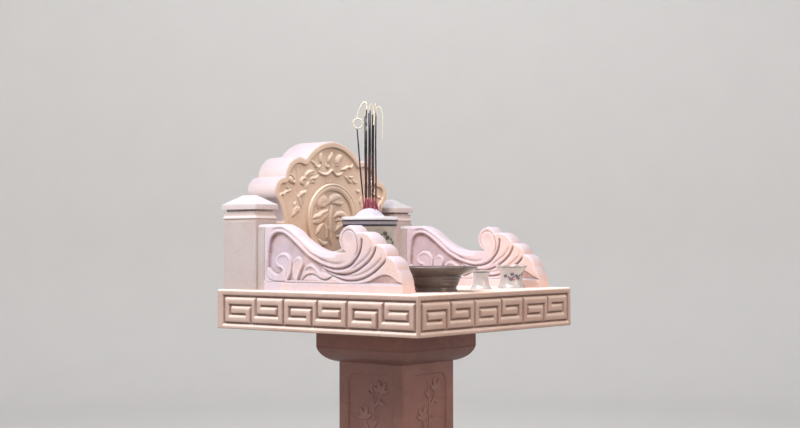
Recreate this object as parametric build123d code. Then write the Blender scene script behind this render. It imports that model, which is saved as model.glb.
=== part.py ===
"""Outdoor altar of carved marble, standing on a square pedestal.

Millimetres. The origin is on the ground under the middle of the table, +Z is up and the
worshipper stands at -Y. The two wings and the posts mirror about the YZ plane.
"""
import os
from math import cos, pi, sin

from build123d import *

# Pedestal, from the ground up
plinth_width = 420.0
plinth_height = 70.0
plinth_edge_round = 5.0
step_width = 340.0
step_height = 40.0
step_chamfer = 14.0
moulding_block_width = 280.0
moulding_block_height = 49.0
ovolo_height = 35.0
ovolo_swell = 3.6
column_width = 200.0
table_top = 1270.0

# Sunk panel on each face of the column, and the branching stem carved in it
panel_margin_side = 28.0
panel_margin_end = 22.0
panel_corner_cut = 20.0
panel_sink = 4.0
stem_width = 7.0
stem_clearance = 18.0
sprig_count = 7
sprig_leaf_share = 0.5

# Table slab and its key border
table_width = 618.0
table_thickness = 94.0
table_edge_round = 4.0
key_margin_end = 16.0
key_margin_top = 17.5
key_margin_bottom = 12.5
key_pairs = 3
key_groove = 9.0
key_depth = 5.0
key_inset = 20.0
key_offset = 8.5
key_left_shift = 8.5

# Side wings. Outline points are (y, height above the table), from the rear to the front
wing_thickness = 46.0
wing_inset = 17.0
wing_front_setback = 56.0
wing_height = 155.5
wing_crest_length = 77.0
wing_strap_top = [(77.0, 141.0), (52.0, 122.0), (14.0, 102.0), (-20.0, 92.0)]
wing_dip = (-60.0, 89.0)
wing_volute_foot = (-86.0, 91.0)
volute_centre = (-101.0, 119.0)
volute_radius = 32.5
volute_boss_radius = 20.0
wing_lobes = [(-122.0, 138.5), (-172.0, 113.0), (-198.0, 84.0), (-240.0, 51.0)]
wing_lobe_bulges = [11.5, 10.5, 7.5, 2.5]
wing_toe_height = 8.0
wing_base_height = 19.0
wing_rear_strip = 26.0
wing_groove = 5.0
wing_carve_depth = 5.0
wing_field_strap = [
    (150.0, 84.0), (140.0, 119.0), (118.0, 134.0), (88.0, 125.0),
    (57.0, 104.0), (18.0, 77.0), (-21.0, 55.0), (-50.0, 40.0),
]
wing_field_front = -62.0
scroll_line = [
    (151.0, 62.0), (141.0, 43.0), (118.0, 36.0), (92.0, 42.0),
    (83.0, 62.0), (94.0, 80.0), (111.0, 80.0), (117.0, 68.0),
]
scroll_width = 11.0
scroll_eye = (104.0, 66.0)
drop_line = [(66.0, 27.0), (61.0, 45.0), (56.0, 66.0)]
drop_width = 13.0
wave_line = [(48.0, 30.0), (36.0, 52.0), (12.0, 57.0), (-14.0, 40.0), (-44.0, 33.0)]
wave_width = 12.0
fan_groove_lines = [
    [
        (24.0, 94.0), (-15.0, 69.0), (-45.0, 56.0), (-70.0, 53.0),
        (-100.0, 60.0), (-122.0, 77.0), (-135.0, 100.0), (-138.0, 114.0),
    ],
    [(-19.0, 56.0), (-53.0, 43.0), (-91.0, 41.0), (-129.0, 54.0), (-157.0, 76.0), (-172.0, 100.0)],
    [(-62.0, 34.0), (-95.0, 28.0), (-129.0, 30.0), (-161.0, 45.0), (-188.0, 66.0)],
    [(-138.0, 25.0), (-169.0, 32.0), (-198.0, 42.0), (-222.0, 36.0), (-240.0, 25.0)],
]

# Corner posts and their caps
post_width = 75.0
post_depth = 113.0
post_inset = 9.0
post_shaft_height = 162.0
neck_heights = [7.5, 12.0, 24.5, 30.0]
neck_insets = [3.0, 0.0, 1.5, 7.0]
neck_hollow = 1.5
post_corona_height = 14.0
post_corona_round = 3.0
post_cap_rise = 21.0
post_cap_overhang = 2.0
post_cap_step = 3.0
post_cap_ridge = 6.0

# Back panel. Outline points are (x, height above the table) on its right-hand side
panel_thickness = 95.0
panel_shoulder_height = 165.0
panel_waist_gap = 41.0
panel_field_sink = 6.0
panel_border_width = 17.0
panel_base_height = 19.0
crown_height = 108.0
fan_upper_notch = (104.0, 322.0)
fan_notch_gap = 46.0
fan_notch_height = 274.0
fan_turn_gap = 14.0
fan_turn_height = 222.0
fan_neck_bulge = -4.8
fan_side_bulge = 17.7
fan_upper_bulge = 22.6
fan_crown_bulge = 12.2
medallion_height = 166.0
medallion_radius = 96.0
medallion_ring_width = 19.0
medallion_ring_proud = 2.0
medallion_ring_round = 3.0

# Carving on the back panel
cloud_count = 9
cloud_distance = 20.0
cloud_radius = 11.0
cloud_hollow = 5.0
crest_gap = 5.0
flower_petal = 14.0
flower_distance = (33.0, 12.0)
tendril_width = 7.0
tendril_reach = 30.0

# Incense burner, its ash and the sticks
burner_place = (0.0, 85.0)
burner_height = 176.0
burner_rim_radius = 72.0
burner_rim_height = 24.0
burner_rim_flare = 5.0
burner_rim_edge = 3.0
burner_mouth_radius = 63.0
burner_mouth_depth = 22.0
burner_foot_radius = 50.0
burner_foot_height = 10.0
burner_stem_radius = 43.0
burner_belly_radius = 67.0
ash_fit = 0.3
ash_shoulder = 12.0
ash_heap = 22.0
stick_count = 7
stick_radius = 1.4
stick_height = 245.0
stick_stagger = 9.0
stick_root = 8.0
stick_ring_foot = 5.5
stick_ring_tip = 9.0
leaning_foot = (-15.0, -6.0, -12.0)
leaning_tip = (-32.0, -10.0, 195.0)
curl_rise = 8.0
curl_radius = 12.0
curl_drops = [32.0, 14.0, 40.0, 22.0]

# Offering bowl and cups
bowl_side = -116.0
bowl_setback = 100.0
bowl_height = 57.0
bowl_rim_radius = 98.0
bowl_wall = 5.0
bowl_foot_radius = 52.0
bowl_neck_radius = 60.0
bowl_neck_height = 36.0
bowl_floor = 8.0
bowl_edge = 4.0
bowl_flare = 3.0
small_cup_side = 71.0
small_cup_setback = 105.0
small_cup_height = 45.0
small_cup_rim = 23.5
small_cup_waist = 18.0
small_cup_foot = 26.0
small_cup_floor = 20.0
large_cup_wing_gap = 69.0
large_cup_setback = 89.0
large_cup_height = 57.0
large_cup_rim = 42.0
large_cup_waist = 27.0
large_cup_foot = 34.0
large_cup_floor = 24.0
cup_wall = 3.0
cup_foot_edge = 3.0

# Values worked out from the ones above
table_bottom = table_top - table_thickness
column_bottom = plinth_height + step_height + moulding_block_height + ovolo_height
column_top = table_bottom - moulding_block_height - ovolo_height
column_height = column_top - column_bottom
post_outer_x = table_width / 2 - post_inset
post_inner_x = post_outer_x - post_width
post_centre_x = post_outer_x - post_width / 2
rear_y = table_width / 2 - post_inset
post_centre_y = rear_y - post_depth / 2
panel_face_y = rear_y - panel_thickness
wing_outer_x = table_width / 2 - wing_inset
wing_rear = rear_y - post_depth
large_cup_side = wing_outer_x - wing_thickness - large_cup_wing_gap
panel_waist_half = post_inner_x - panel_waist_gap
fan_lower_turn = (post_inner_x - fan_turn_gap, fan_turn_height)
fan_middle_notch = (post_inner_x - fan_notch_gap, fan_notch_height)
front_edge = -table_width / 2
wing_front = front_edge + wing_front_setback
fan_top_height = medallion_height + medallion_radius + crown_height
ash_seat = burner_height - burner_mouth_depth
ash_peak = burner_height + ash_heap


def slab(width, depth, bottom, height):
    """A plain block centred on the upright axis."""
    low = (Align.CENTER, Align.CENTER, Align.MIN)
    return Pos(0, 0, bottom) * Box(width, depth, height, align=low)


def moulded_block(half_x, half_y, section):
    """A block whose four sides follow one moulding, mitred at the corners.

    section(half) gives the right-hand edges of the moulding, from the bottom up, for a block
    of that half width.
    """

    def prism(half, plane, length):
        right = Wire(section(half))
        left = mirror(right, about=Plane.YZ)
        bottom = Line(left @ 0, right @ 0)
        top = Line(right @ 1, left @ 1)
        face = make_face(right.edges() + left.edges() + [bottom, top])
        return extrude(plane * face, length, both=True)

    return prism(half_x, Plane.XZ, half_y * 1.5) & prism(half_y, Plane.YZ, half_x * 1.5)


def path(points):
    """Straight edges through the points."""
    return [Line(a, b) for a, b in zip(points, points[1:])]


def scallops(points, bulges):
    """Arcs from point to point, each standing out by its bulge to the right of its chord."""
    return [SagittaArc(a, b, -bulge) for a, b, bulge in zip(points, points[1:], bulges)]


def bar(start, end, width):
    """A straight groove or fillet with square ends, drawn flat."""
    length = abs(end[0] - start[0]) + abs(end[1] - start[1])
    middle = ((start[0] + end[0]) / 2, (start[1] + end[1]) / 2)
    if start[1] == end[1]:
        return Pos(*middle) * Rectangle(length + width, width)
    return Pos(*middle) * Rectangle(width, length + width)


def stroke(points, width):
    """A line of even width through the points, with round ends, drawn flat."""
    line = Spline(*points)
    caps = [Pos(*points[i]) * Circle(width / 2) for i in (0, -1)]
    return trace(line, width) + caps[0] + caps[1]


def leaf(length, width, place, turn):
    """A pointed leaf with its stalk at the place, turned from upright."""
    side = ThreePointArc((0, 0), (width / 2, length / 2), (0, length))
    other = ThreePointArc((0, length), (-width / 2, length / 2), (0, 0))
    return Pos(*place) * Rot(0, 0, turn) * make_face([side, other])


# Pedestal


def plinth_slab():
    block = slab(plinth_width, plinth_width, 0, plinth_height)
    return fillet(block.edges().group_by(Axis.Z)[-1], plinth_edge_round)


def plinth_step():
    block = slab(step_width, step_width, plinth_height, step_height)
    return chamfer(block.edges().group_by(Axis.Z)[-1], step_chamfer)


def ovolo_block(bottom, upright):
    """The block and quarter-round between the column and what lies beyond it."""

    def section(half):
        inner = half - (moulding_block_width - column_width) / 2
        block_end = moulding_block_height
        round_end = moulding_block_height + ovolo_height
        middle = ((half + inner) / 2 + ovolo_swell, (block_end + round_end) / 2 + ovolo_swell)
        edges = [
            Line((half, 0), (half, block_end)),
            ThreePointArc((half, block_end), middle, (inner, round_end)),
        ]
        return edges

    half = moulding_block_width / 2
    block = moulded_block(half, half, section)
    if not upright:
        block = mirror(block, about=Plane.XY)
        return Pos(0, 0, bottom + moulding_block_height + ovolo_height) * block
    return Pos(0, 0, bottom) * block


def panel_outline():
    """The sunk panel of a column face, drawn about the middle of the column's height."""
    half_width = column_width / 2 - panel_margin_side
    half_height = column_height / 2 - panel_margin_end
    field = Rectangle(2 * half_width, 2 * half_height)
    return chamfer(field.vertices(), panel_corner_cut)


def column_face():
    """The plane of the column's front face, its x to the right and y up."""
    middle = column_bottom + column_height / 2
    return Plane((0, -column_width / 2, middle), (1, 0, 0), (0, -1, 0))


def column_shaft():
    shaft = slab(column_width, column_width, column_bottom, column_height)
    sunk = extrude(column_face() * panel_outline(), -panel_sink)
    for turn in (0, 90, 180, 270):
        shaft -= Rot(0, 0, turn) * sunk
    return shaft


def sprig(foot, reach, side):
    """A side shoot that bends upward and ends in three leaves."""
    tip = (foot[0] + side * reach * 0.55, foot[1] + reach * 0.7)
    elbow = (foot[0] + side * reach * 0.4, foot[1] + reach * 0.25)
    length = reach * sprig_leaf_share
    sketch = stroke([foot, elbow, tip], stem_width * 0.75)
    for turn in (-60, 0, 60):
        sketch += leaf(length, length * 0.36, tip, turn - side * 12)
    return sketch


def column_relief(turn):
    """A branching stem that rises up the sunk panel, level with the column's face."""
    half_width = column_width / 2 - panel_margin_side - stem_clearance
    half_height = column_height / 2 - panel_margin_end - stem_clearance
    rise = 2 * half_height
    sway = half_width * 0.12
    stem = [(sway * sin(2 * pi * t / 6), rise * t / 6 - half_height) for t in range(7)]
    sketch = stroke(stem, stem_width)
    for number in range(sprig_count):
        share = (number + 0.5) / (sprig_count + 0.5)
        foot = (sway * sin(2 * pi * share), rise * share - half_height)
        sketch += sprig(foot, half_width, 1 if number % 2 else -1)
    return Rot(0, 0, turn) * extrude(column_face() * sketch, -panel_sink)


# Table


def key_grooves(length, height):
    """The grooves of the key border of one side, from its lower left corner."""
    corners = [(0, 0), (length, 0), (length, height), (0, height), (0, 0)]
    lines = list(zip(corners, corners[1:]))
    pair = length / key_pairs
    low, high = height / 3, 2 * height / 3
    for number in range(key_pairs):
        left = number * pair
        right = left + pair
        middle = left + pair / 2
        if number:
            lines.append(((left, 0), (left, height)))
        rising = [
            (middle - key_offset, 0),
            (middle - key_offset, high),
            (left + key_inset, high),
            (left + key_inset, low),
            (middle - key_offset - key_inset, low),
        ]
        falling = [
            (middle + key_offset, height),
            (middle + key_offset, low),
            (right - key_inset, low),
            (right - key_inset, high),
            (middle + key_offset + key_inset, high),
        ]
        for hook in (rising, falling):
            lines += zip(hook, hook[1:])
    sketch = Sketch()
    for start, end in lines:
        sketch += bar(start, end, key_groove)
    return sketch


def table_slab():
    block = slab(table_width, table_width, table_bottom, table_thickness)
    block = fillet(block.edges().filter_by(Axis.Z), table_edge_round)
    block = fillet(block.edges().group_by(Axis.Z)[-1], table_edge_round)
    length = table_width - 2 * key_margin_end
    height = table_thickness - key_margin_top - key_margin_bottom
    grooves = key_grooves(length, height)
    corner = (-length / 2, -table_width / 2, table_bottom + key_margin_bottom)
    cut = extrude(Plane(corner, (1, 0, 0), (0, -1, 0)) * grooves, -key_depth)
    for turn, shift in ((0, 0), (90, 0), (180, 0), (270, key_left_shift)):
        block -= Rot(0, 0, turn) * Pos(shift, 0, 0) * cut
    return block


# Side wings


def wing_outline():
    """The wing seen from its side, drawn with y to the right and height up."""
    rear_top = (wing_rear, wing_height)
    crest = (wing_rear - wing_crest_length, wing_height)
    centre_y, centre_z = volute_centre
    volute_rear = (centre_y + volute_radius, centre_z)
    volute_top = (centre_y, centre_z + volute_radius)
    shoulder = wing_lobes[0]
    toe = (wing_front, wing_toe_height)
    edges = [
        Line((wing_front, 0), (wing_rear, 0)),
        Line((wing_rear, 0), rear_top),
        Line(rear_top, crest),
        Spline(crest, *wing_strap_top, wing_dip, tangents=[(-1, 0), (-1, 0)]),
        Line(wing_dip, wing_volute_foot),
        ThreePointArc(wing_volute_foot, volute_rear, volute_top),
        SagittaArc(volute_top, shoulder, -volute_radius / 10),
        *scallops(wing_lobes + [toe], wing_lobe_bulges),
        Line(toe, (wing_front, 0)),
    ]
    return make_face(edges)


def wing_scroll_field():
    """What is sunk under the strap, round the small scroll, the drop and the wave."""
    rear = wing_rear - wing_rear_strip - wing_groove
    base = wing_base_height + wing_groove / 2
    strap = wing_field_strap
    edges = [
        Line((rear, base), (rear, base * 3)),
        Spline((rear, base * 3), *strap),
        Line(strap[-1], (wing_field_front, base)),
        Line((wing_field_front, base), (rear, base)),
    ]
    field = make_face(edges)
    field -= stroke(scroll_line, scroll_width)
    field -= Pos(*scroll_eye) * Circle(scroll_width)
    field -= stroke(drop_line, drop_width)
    field -= stroke(wave_line, wave_width)
    return field


def wing_fan_grooves():
    """The grooves that sweep out from under the volute to the notches of the front edge."""
    sketch = Sketch()
    for line in fan_groove_lines:
        sketch += stroke(line, wing_groove)
    ring = Circle(volute_boss_radius + wing_groove / 2) - Circle(volute_boss_radius - wing_groove / 2)
    return sketch + Pos(*volute_centre) * ring


def wing_left():
    outer = Plane((-wing_outer_x, 0, table_top), (0, 1, 0), (1, 0, 0))
    inner = Plane((wing_thickness - wing_outer_x, 0, table_top), (0, 1, 0), (1, 0, 0))
    body = extrude(outer * wing_outline(), wing_thickness)
    for carving in (wing_scroll_field(), wing_fan_grooves()):
        body -= extrude(outer * carving, wing_carve_depth)
        body -= extrude(inner * carving, -wing_carve_depth)
    return body


# Corner posts


def post_shaft():
    block = slab(post_width, post_depth, table_top, post_shaft_height)
    return Pos(-post_centre_x, post_centre_y, 0) * block


def post_neck():
    """Fillets and a hollow between the post and its cap."""

    def section(half):
        first, second, third, last = neck_heights
        foot, bead, throat, top = [half - inset for inset in neck_insets]
        lower = path([(foot, 0), (foot, first), (bead, first), (bead, second), (throat, second)])
        hollow = SagittaArc((throat, second), (throat, third), neck_hollow)
        upper = path([(throat, third), (top, third), (top, last)])
        return lower + [hollow] + upper

    neck = moulded_block(post_width / 2, post_depth / 2, section)
    return Pos(-post_centre_x, post_centre_y, table_top + post_shaft_height) * neck


def post_cap():
    """A square corona under a low pyramid."""
    half_x = post_width / 2 + post_cap_overhang
    half_y = post_depth / 2 + post_cap_overhang
    corona = slab(2 * half_x, 2 * half_y, 0, post_corona_height)
    corona = fillet(corona.edges().group_by(Axis.Z)[-1], post_corona_round)
    step = 2 * post_cap_step
    base = Plane((0, 0, post_corona_height)) * Rectangle(2 * half_x - step, 2 * half_y - step)
    ridge_length = 2 * (half_y - half_x) + post_cap_ridge
    summit = Plane((0, 0, post_corona_height + post_cap_rise))
    cap = corona + loft([base, summit * Rectangle(post_cap_ridge, ridge_length)])
    bottom = table_top + post_shaft_height + neck_heights[-1]
    return Pos(-post_centre_x, post_centre_y, bottom) * cap


# Back panel


def fan_edges():
    """The scalloped right-hand edge, from the shoulder up to the crown."""
    shoulder = (panel_waist_half, panel_shoulder_height)
    crown = (0, fan_top_height)
    points = [shoulder, fan_lower_turn, fan_middle_notch, fan_upper_notch, crown]
    bulges = [fan_neck_bulge, fan_side_bulge, fan_upper_bulge, fan_crown_bulge]
    return [Line((panel_waist_half, 0), shoulder)] + scallops(points, bulges)


def fan_outline():
    right = Wire(fan_edges())
    left = mirror(right, about=Plane.YZ)
    base = Line(left @ 0, right @ 0)
    return make_face(right.edges() + left.edges() + [base])


def panel_outline_full():
    """The fan with its shoulders, which reach the posts."""
    low = (Align.CENTER, Align.MIN)
    return fan_outline() + Rectangle(2 * post_inner_x, panel_shoulder_height, align=low)


def field_outline():
    """The sunk field, inside the raised border."""
    field = offset(fan_outline(), -panel_border_width)
    low = (Align.CENTER, Align.MIN)
    above = Pos(0, panel_base_height) * Rectangle(table_width, fan_top_height, align=low)
    return field & above


def upright_plane(y):
    """The plane at that depth, facing the worshipper, with heights from the table's top."""
    return Plane((0, y, table_top), (1, 0, 0), (0, -1, 0))


def back_panel():
    face = upright_plane(panel_face_y + panel_field_sink) * panel_outline_full()
    return extrude(face, -(panel_thickness - panel_field_sink))


def back_panel_border():
    front = upright_plane(panel_face_y)
    whole = extrude(front * panel_outline_full(), -panel_field_sink)
    return whole - extrude(front * field_outline(), -panel_field_sink)


def medallion_ring():
    ring = Circle(medallion_radius) - Circle(medallion_radius - medallion_ring_width)
    front = upright_plane(panel_face_y - medallion_ring_proud)
    body = extrude(front * Pos(0, medallion_height) * ring, -(panel_field_sink + medallion_ring_proud))
    return fillet(body.edges().group_by(Axis.Y)[0], medallion_ring_round)


def relief(sketch):
    """Carving that stands on the sunk field, level with the border."""
    return extrude(upright_plane(panel_face_y) * sketch, -panel_field_sink)


def crest_relief():
    """Leaves that rise like flames between the clouds and the crown."""
    cloud_top = medallion_height + medallion_radius + cloud_distance + cloud_radius
    field_top = fan_top_height - panel_border_width
    room = field_top - cloud_top - 2 * crest_gap
    sketch = Sketch()
    for turn, share in ((-66, 0.84), (-34, 0.92), (0, 1), (34, 0.92), (66, 0.84)):
        x = room * 0.52 * sin(-turn * pi / 180)
        z = cloud_top + crest_gap - room * 0.24 * (1 - cos(turn * pi / 180))
        sketch += leaf(room * share, room * 0.3, (x, z), turn)
    return relief(sketch)


def cloud_relief():
    """A band of cloud scallops that arches over the medallion."""
    sketch = Sketch()
    orbit = medallion_radius + cloud_distance
    for step in range(cloud_count):
        angle = pi * (0.1 + 0.8 * step / (cloud_count - 1))
        hollow_orbit = orbit - cloud_hollow
        sketch += Pos(orbit * cos(angle), medallion_height + orbit * sin(angle)) * Circle(cloud_radius)
        hollow_place = (hollow_orbit * cos(angle), medallion_height + hollow_orbit * sin(angle))
        sketch -= Pos(*hollow_place) * Circle(cloud_hollow)
    return relief(sketch)


def tendril(start, reach, side, turn):
    """A curling stem that starts at the place and bends over to the side."""
    line = [(0, 0), (side * reach * 0.45, reach * 0.1), (side * reach * 0.85, -reach * 0.25)]
    return Pos(*start) * Rot(0, 0, side * turn) * stroke(line, tendril_width)


def side_relief():
    """A flower and two curling stems in each side lobe."""
    notch_x, notch_z = fan_middle_notch
    flower_x = notch_x - flower_distance[0]
    flower_z = notch_z - flower_distance[1]
    between = (panel_waist_half - panel_border_width + medallion_radius) / 2
    sketch = Sketch()
    for side in (-1, 1):
        for petal in range(5):
            sketch += leaf(flower_petal, flower_petal * 0.7, (side * flower_x, flower_z), 72 * petal)
        upper = (side * (flower_x + tendril_width), flower_z - flower_petal - 2 * tendril_width)
        lower = (side * between, medallion_height)
        sketch += tendril(upper, tendril_reach, side, 20)
        sketch += tendril(lower, tendril_reach, side, 75)
    return relief(sketch)


def medallion_relief():
    """A lotus between two leaves, inside the ring."""
    radius = medallion_radius - medallion_ring_width
    low = medallion_height - radius * 0.18
    foot = medallion_height - radius * 0.75
    sketch = Sketch()
    for turn, share in ((-72, 0.6), (-42, 0.7), (0, 0.78), (42, 0.7), (72, 0.6)):
        sketch += leaf(radius * share, radius * 0.31, (0, low), turn)
    sketch += stroke([(0, low), (radius * 0.05, (low + foot) / 2), (0, foot)], tendril_width)
    for side in (-1, 1):
        sketch += leaf(radius * 0.52, radius * 0.23, (0, foot + radius * 0.1), side * -68)
    return relief(sketch)


# Things that stand on the table


def turned(section, place):
    """A piece turned about its upright axis, standing on the table at the place."""
    return Pos(*place, table_top) * revolve(Plane.XZ * section, Axis.Z)


def incense_burner():
    """A footed porcelain pot with a broad rim, filled with ash to its mouth."""
    lip = burner_rim_radius - burner_rim_flare
    rim_bottom = burner_height - burner_rim_height
    belly_height = rim_bottom - burner_foot_height
    belly = [
        (burner_foot_radius, burner_foot_height),
        (burner_stem_radius, burner_foot_height + belly_height * 0.07),
        (burner_belly_radius * 0.87, burner_foot_height + belly_height * 0.26),
        (burner_belly_radius, burner_foot_height + belly_height * 0.56),
        (burner_belly_radius * 0.91, burner_foot_height + belly_height * 0.87),
        (lip, rim_bottom),
    ]
    edge_height = burner_height - burner_rim_edge
    edges = path([(0, 0), (burner_foot_radius, 0), belly[0]])
    edges.append(Spline(*belly))
    edges += path([
        belly[-1],
        (burner_rim_radius, edge_height),
        (burner_rim_radius - burner_rim_edge, burner_height),
        (burner_mouth_radius, burner_height),
        (burner_mouth_radius, ash_seat),
        (0, ash_seat),
        (0, 0),
    ])
    return turned(make_face(edges), burner_place)


def ash_mound():
    """The ash heaped in the burner, with a soft peak."""
    radius = burner_mouth_radius - ash_fit
    shoulder = ash_seat + ash_shoulder
    rise = ash_peak - shoulder
    heap = [
        (radius, shoulder),
        (radius * 0.67, shoulder + rise * 0.28),
        (radius * 0.36, shoulder + rise * 0.7),
        (0, ash_peak),
    ]
    edges = path([(0, ash_seat), (radius, ash_seat), heap[0]])
    edges.append(Spline(*heap, tangents=[(-1, 0.2), (-1, 0)]))
    edges.append(Line((0, ash_peak), (0, ash_seat)))
    return turned(make_face(edges), burner_place)


def stick_rows():
    """Foot and tip of every incense stick: x and y from the burner's axis, height from the table."""
    rows = []
    for number in range(stick_count):
        angle = 2 * pi * number / stick_count
        foot = (stick_ring_foot * cos(angle), stick_ring_foot * sin(angle), ash_peak - stick_root)
        top = ash_peak + stick_height - stick_stagger * (number % 3)
        rows.append((foot, (stick_ring_tip * cos(angle), stick_ring_tip * sin(angle), top)))
    lean = [(x, y, ash_peak + z) for x, y, z in (leaning_foot, leaning_tip)]
    return rows + [lean]


def stick_ends(foot, tip):
    """The two ends of a stick in the altar's own frame."""
    place = Vector(burner_place[0], burner_place[1], table_top)
    return place + Vector(*foot), place + Vector(*tip)


def incense_sticks():
    """Thin sticks stood in the ash."""
    ash = ash_mound()
    rods = []
    for foot, tip in stick_rows():
        start, end = stick_ends(foot, tip)
        rod = extrude(Plane(start, z_dir=end - start) * Circle(stick_radius), (end - start).length)
        rods.append(rod - ash)
    return Compound(children=rods)


def ash_curls():
    """The burnt ends, which hold together, bend over at the tips and hang down outside the bunch."""
    curls = []
    for (foot, tip), drop in zip(stick_rows()[::2], curl_drops):
        start, end = stick_ends(foot, tip)
        along = (end - start).normalized()
        outward = Vector(tip[0], tip[1], 0)
        outward = (outward - along * outward.dot(along)).normalized()
        bend = end + along * curl_rise
        far = bend + outward * 2 * curl_radius
        hub = Axis(bend + outward * curl_radius, along.cross(outward))
        curl = extrude(Plane(end, z_dir=along) * Circle(stick_radius), curl_rise)
        curl += revolve(Plane(bend, z_dir=along) * Circle(stick_radius), hub, 180)
        curl += extrude(Plane(far, z_dir=-along) * Circle(stick_radius), drop)
        curls.append(curl)
    return Compound(children=curls)


def offering_bowl():
    """A dark bowl with a narrow body and a wide flared rim."""
    rim = bowl_rim_radius
    foot = bowl_foot_radius
    neck = bowl_neck_height
    inner_neck = neck + bowl_edge
    edges = path([
        (0, 0),
        (foot, 0),
        (foot - bowl_edge, bowl_floor),
        (bowl_neck_radius, neck - bowl_wall),
        (bowl_neck_radius - 1, neck),
    ])
    edges.append(SagittaArc((bowl_neck_radius - 1, neck), (rim, bowl_height - bowl_edge), -bowl_flare))
    edges += path([
        (rim, bowl_height - bowl_edge),
        (rim - 1, bowl_height),
        (rim - bowl_wall, bowl_height),
    ])
    edges.append(SagittaArc((rim - bowl_wall, bowl_height), (foot, inner_neck), bowl_flare))
    edges += path([
        (foot, inner_neck),
        (foot, neck - bowl_edge - 2),
        (foot - 2 * bowl_wall, bowl_floor),
        (0, bowl_floor),
        (0, 0),
    ])
    return turned(make_face(edges), (bowl_side, front_edge + bowl_setback))


def cup(place, height, rim, waist, foot, floor):
    """A waisted porcelain cup on a spreading foot."""
    narrow = height * 0.55
    well = waist - cup_wall
    edges = path([(0, 0), (foot, 0), (foot - 1, cup_foot_edge)])
    outside = [(foot - 1, cup_foot_edge), (waist, narrow), (rim, height)]
    edges.append(Spline(*outside, tangents=[(-1, 0.6), (1, 0.8)]))
    edges.append(Line((rim, height), (rim - cup_wall, height)))
    inside = [(rim - cup_wall, height), (well, floor + cup_wall)]
    edges.append(Spline(*inside, tangents=[(-1, -0.8), (0, -1)]))
    edges += path([(well, floor + cup_wall), (well - cup_wall, floor), (0, floor), (0, 0)])
    return turned(make_face(edges), place)


def small_cup():
    sizes = (small_cup_height, small_cup_rim, small_cup_waist, small_cup_foot, small_cup_floor)
    return cup((small_cup_side, front_edge + small_cup_setback), *sizes)


def large_cup():
    sizes = (large_cup_height, large_cup_rim, large_cup_waist, large_cup_foot, large_cup_floor)
    return cup((large_cup_side, front_edge + large_cup_setback), *sizes)


def build():
    """Every piece by name."""
    pieces = {
        "plinth_slab": plinth_slab(),
        "plinth_step": plinth_step(),
        "column_base": ovolo_block(plinth_height + step_height, upright=True),
        "column_shaft": column_shaft(),
        "capital": ovolo_block(column_top, upright=False),
        "table_slab": table_slab(),
        "back_panel": back_panel(),
        "back_panel_border": back_panel_border(),
        "medallion_ring": medallion_ring(),
        "medallion_relief": medallion_relief(),
        "crest_relief": crest_relief(),
        "cloud_relief": cloud_relief(),
        "side_relief": side_relief(),
        "incense_burner": incense_burner(),
        "ash_mound": ash_mound(),
        "incense_sticks": incense_sticks(),
        "ash_curls": ash_curls(),
        "offering_bowl": offering_bowl(),
        "small_cup": small_cup(),
        "large_cup": large_cup(),
    }
    for name, turn in (("front", 0), ("right", 90), ("rear", 180), ("left", 270)):
        pieces["column_relief_" + name] = column_relief(turn)
    pairs = {
        "wing": wing_left(),
        "post_shaft": post_shaft(),
        "post_neck": post_neck(),
        "post_cap": post_cap(),
    }
    for name, piece in pairs.items():
        pieces[name + "_left"] = piece
        pieces[name + "_right"] = mirror(piece, about=Plane.YZ)
    return pieces


os.makedirs("parts", exist_ok=True)
for node, solid in build().items():
    export_step(solid, f"parts/{node}.step")
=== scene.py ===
"""Looks of the carved stone altar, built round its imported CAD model.

Pieces are modelled in millimetres in the part's own frame, and finish_piece() brings them to
metres. x runs to the worshipper's right, y away from them, and z is up from the ground.
"""
from math import cos, pi, radians, sin

import bmesh
import bpy
import numpy as np
from mathutils import Matrix, Vector, noise


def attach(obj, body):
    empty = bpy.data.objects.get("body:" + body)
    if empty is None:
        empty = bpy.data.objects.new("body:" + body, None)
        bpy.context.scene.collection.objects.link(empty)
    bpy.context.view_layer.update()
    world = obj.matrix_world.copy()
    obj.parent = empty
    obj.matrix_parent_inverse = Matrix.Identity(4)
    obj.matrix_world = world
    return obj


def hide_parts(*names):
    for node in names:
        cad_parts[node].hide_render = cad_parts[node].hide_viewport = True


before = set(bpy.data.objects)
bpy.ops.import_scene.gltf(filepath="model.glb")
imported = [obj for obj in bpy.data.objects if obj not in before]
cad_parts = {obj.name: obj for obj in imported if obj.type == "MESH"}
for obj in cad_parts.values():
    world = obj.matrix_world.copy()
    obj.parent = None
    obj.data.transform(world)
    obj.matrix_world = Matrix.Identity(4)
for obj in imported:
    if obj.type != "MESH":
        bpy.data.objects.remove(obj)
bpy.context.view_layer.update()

METRES = 0.001
UP = Vector((0, 0, 1))
# Millimetres within which points of a piece or a seam are joined, and edges dissolved
weld_gap = 0.03
seam_gap = 0.05
sliver = 0.01

# Levels and places, in millimetres
table_top = 1270.0
table_half = 309.0
table_bottom = 1176.0
wing_face = 292.0
wing_middle = 269.0
wing_rear = 187.0
wing_strip = 165.0
wing_front = -254.0
panel_face = 205.0
panel_rear = 300.0
medallion_height = 166.0
plinth_half = 210.0
plinth_top = 70.0
step_half = 170.0
step_top = 110.0
moulding_rise = 84.0
moulding_reach = 40.0
column_half = 100.0
column_foot = step_top + moulding_rise
column_top = table_bottom - moulding_rise
post_place = (262.5, 243.5)
post_half = (37.5, 56.5)
burner_place = (0.0, 85.0)
bowl_place = (-116.0, -209.0)
small_cup_place = (71.0, -204.0)
large_cup_place = (177.0, -220.0)
# Cups: height, then the radii of rim, waist and foot
small_cup_sizes = (45.0, 23.5, 18.0, 26.0)
large_cup_sizes = (57.0, 42.0, 27.0, 34.0)


# Lines and distances on a flat face


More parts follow.
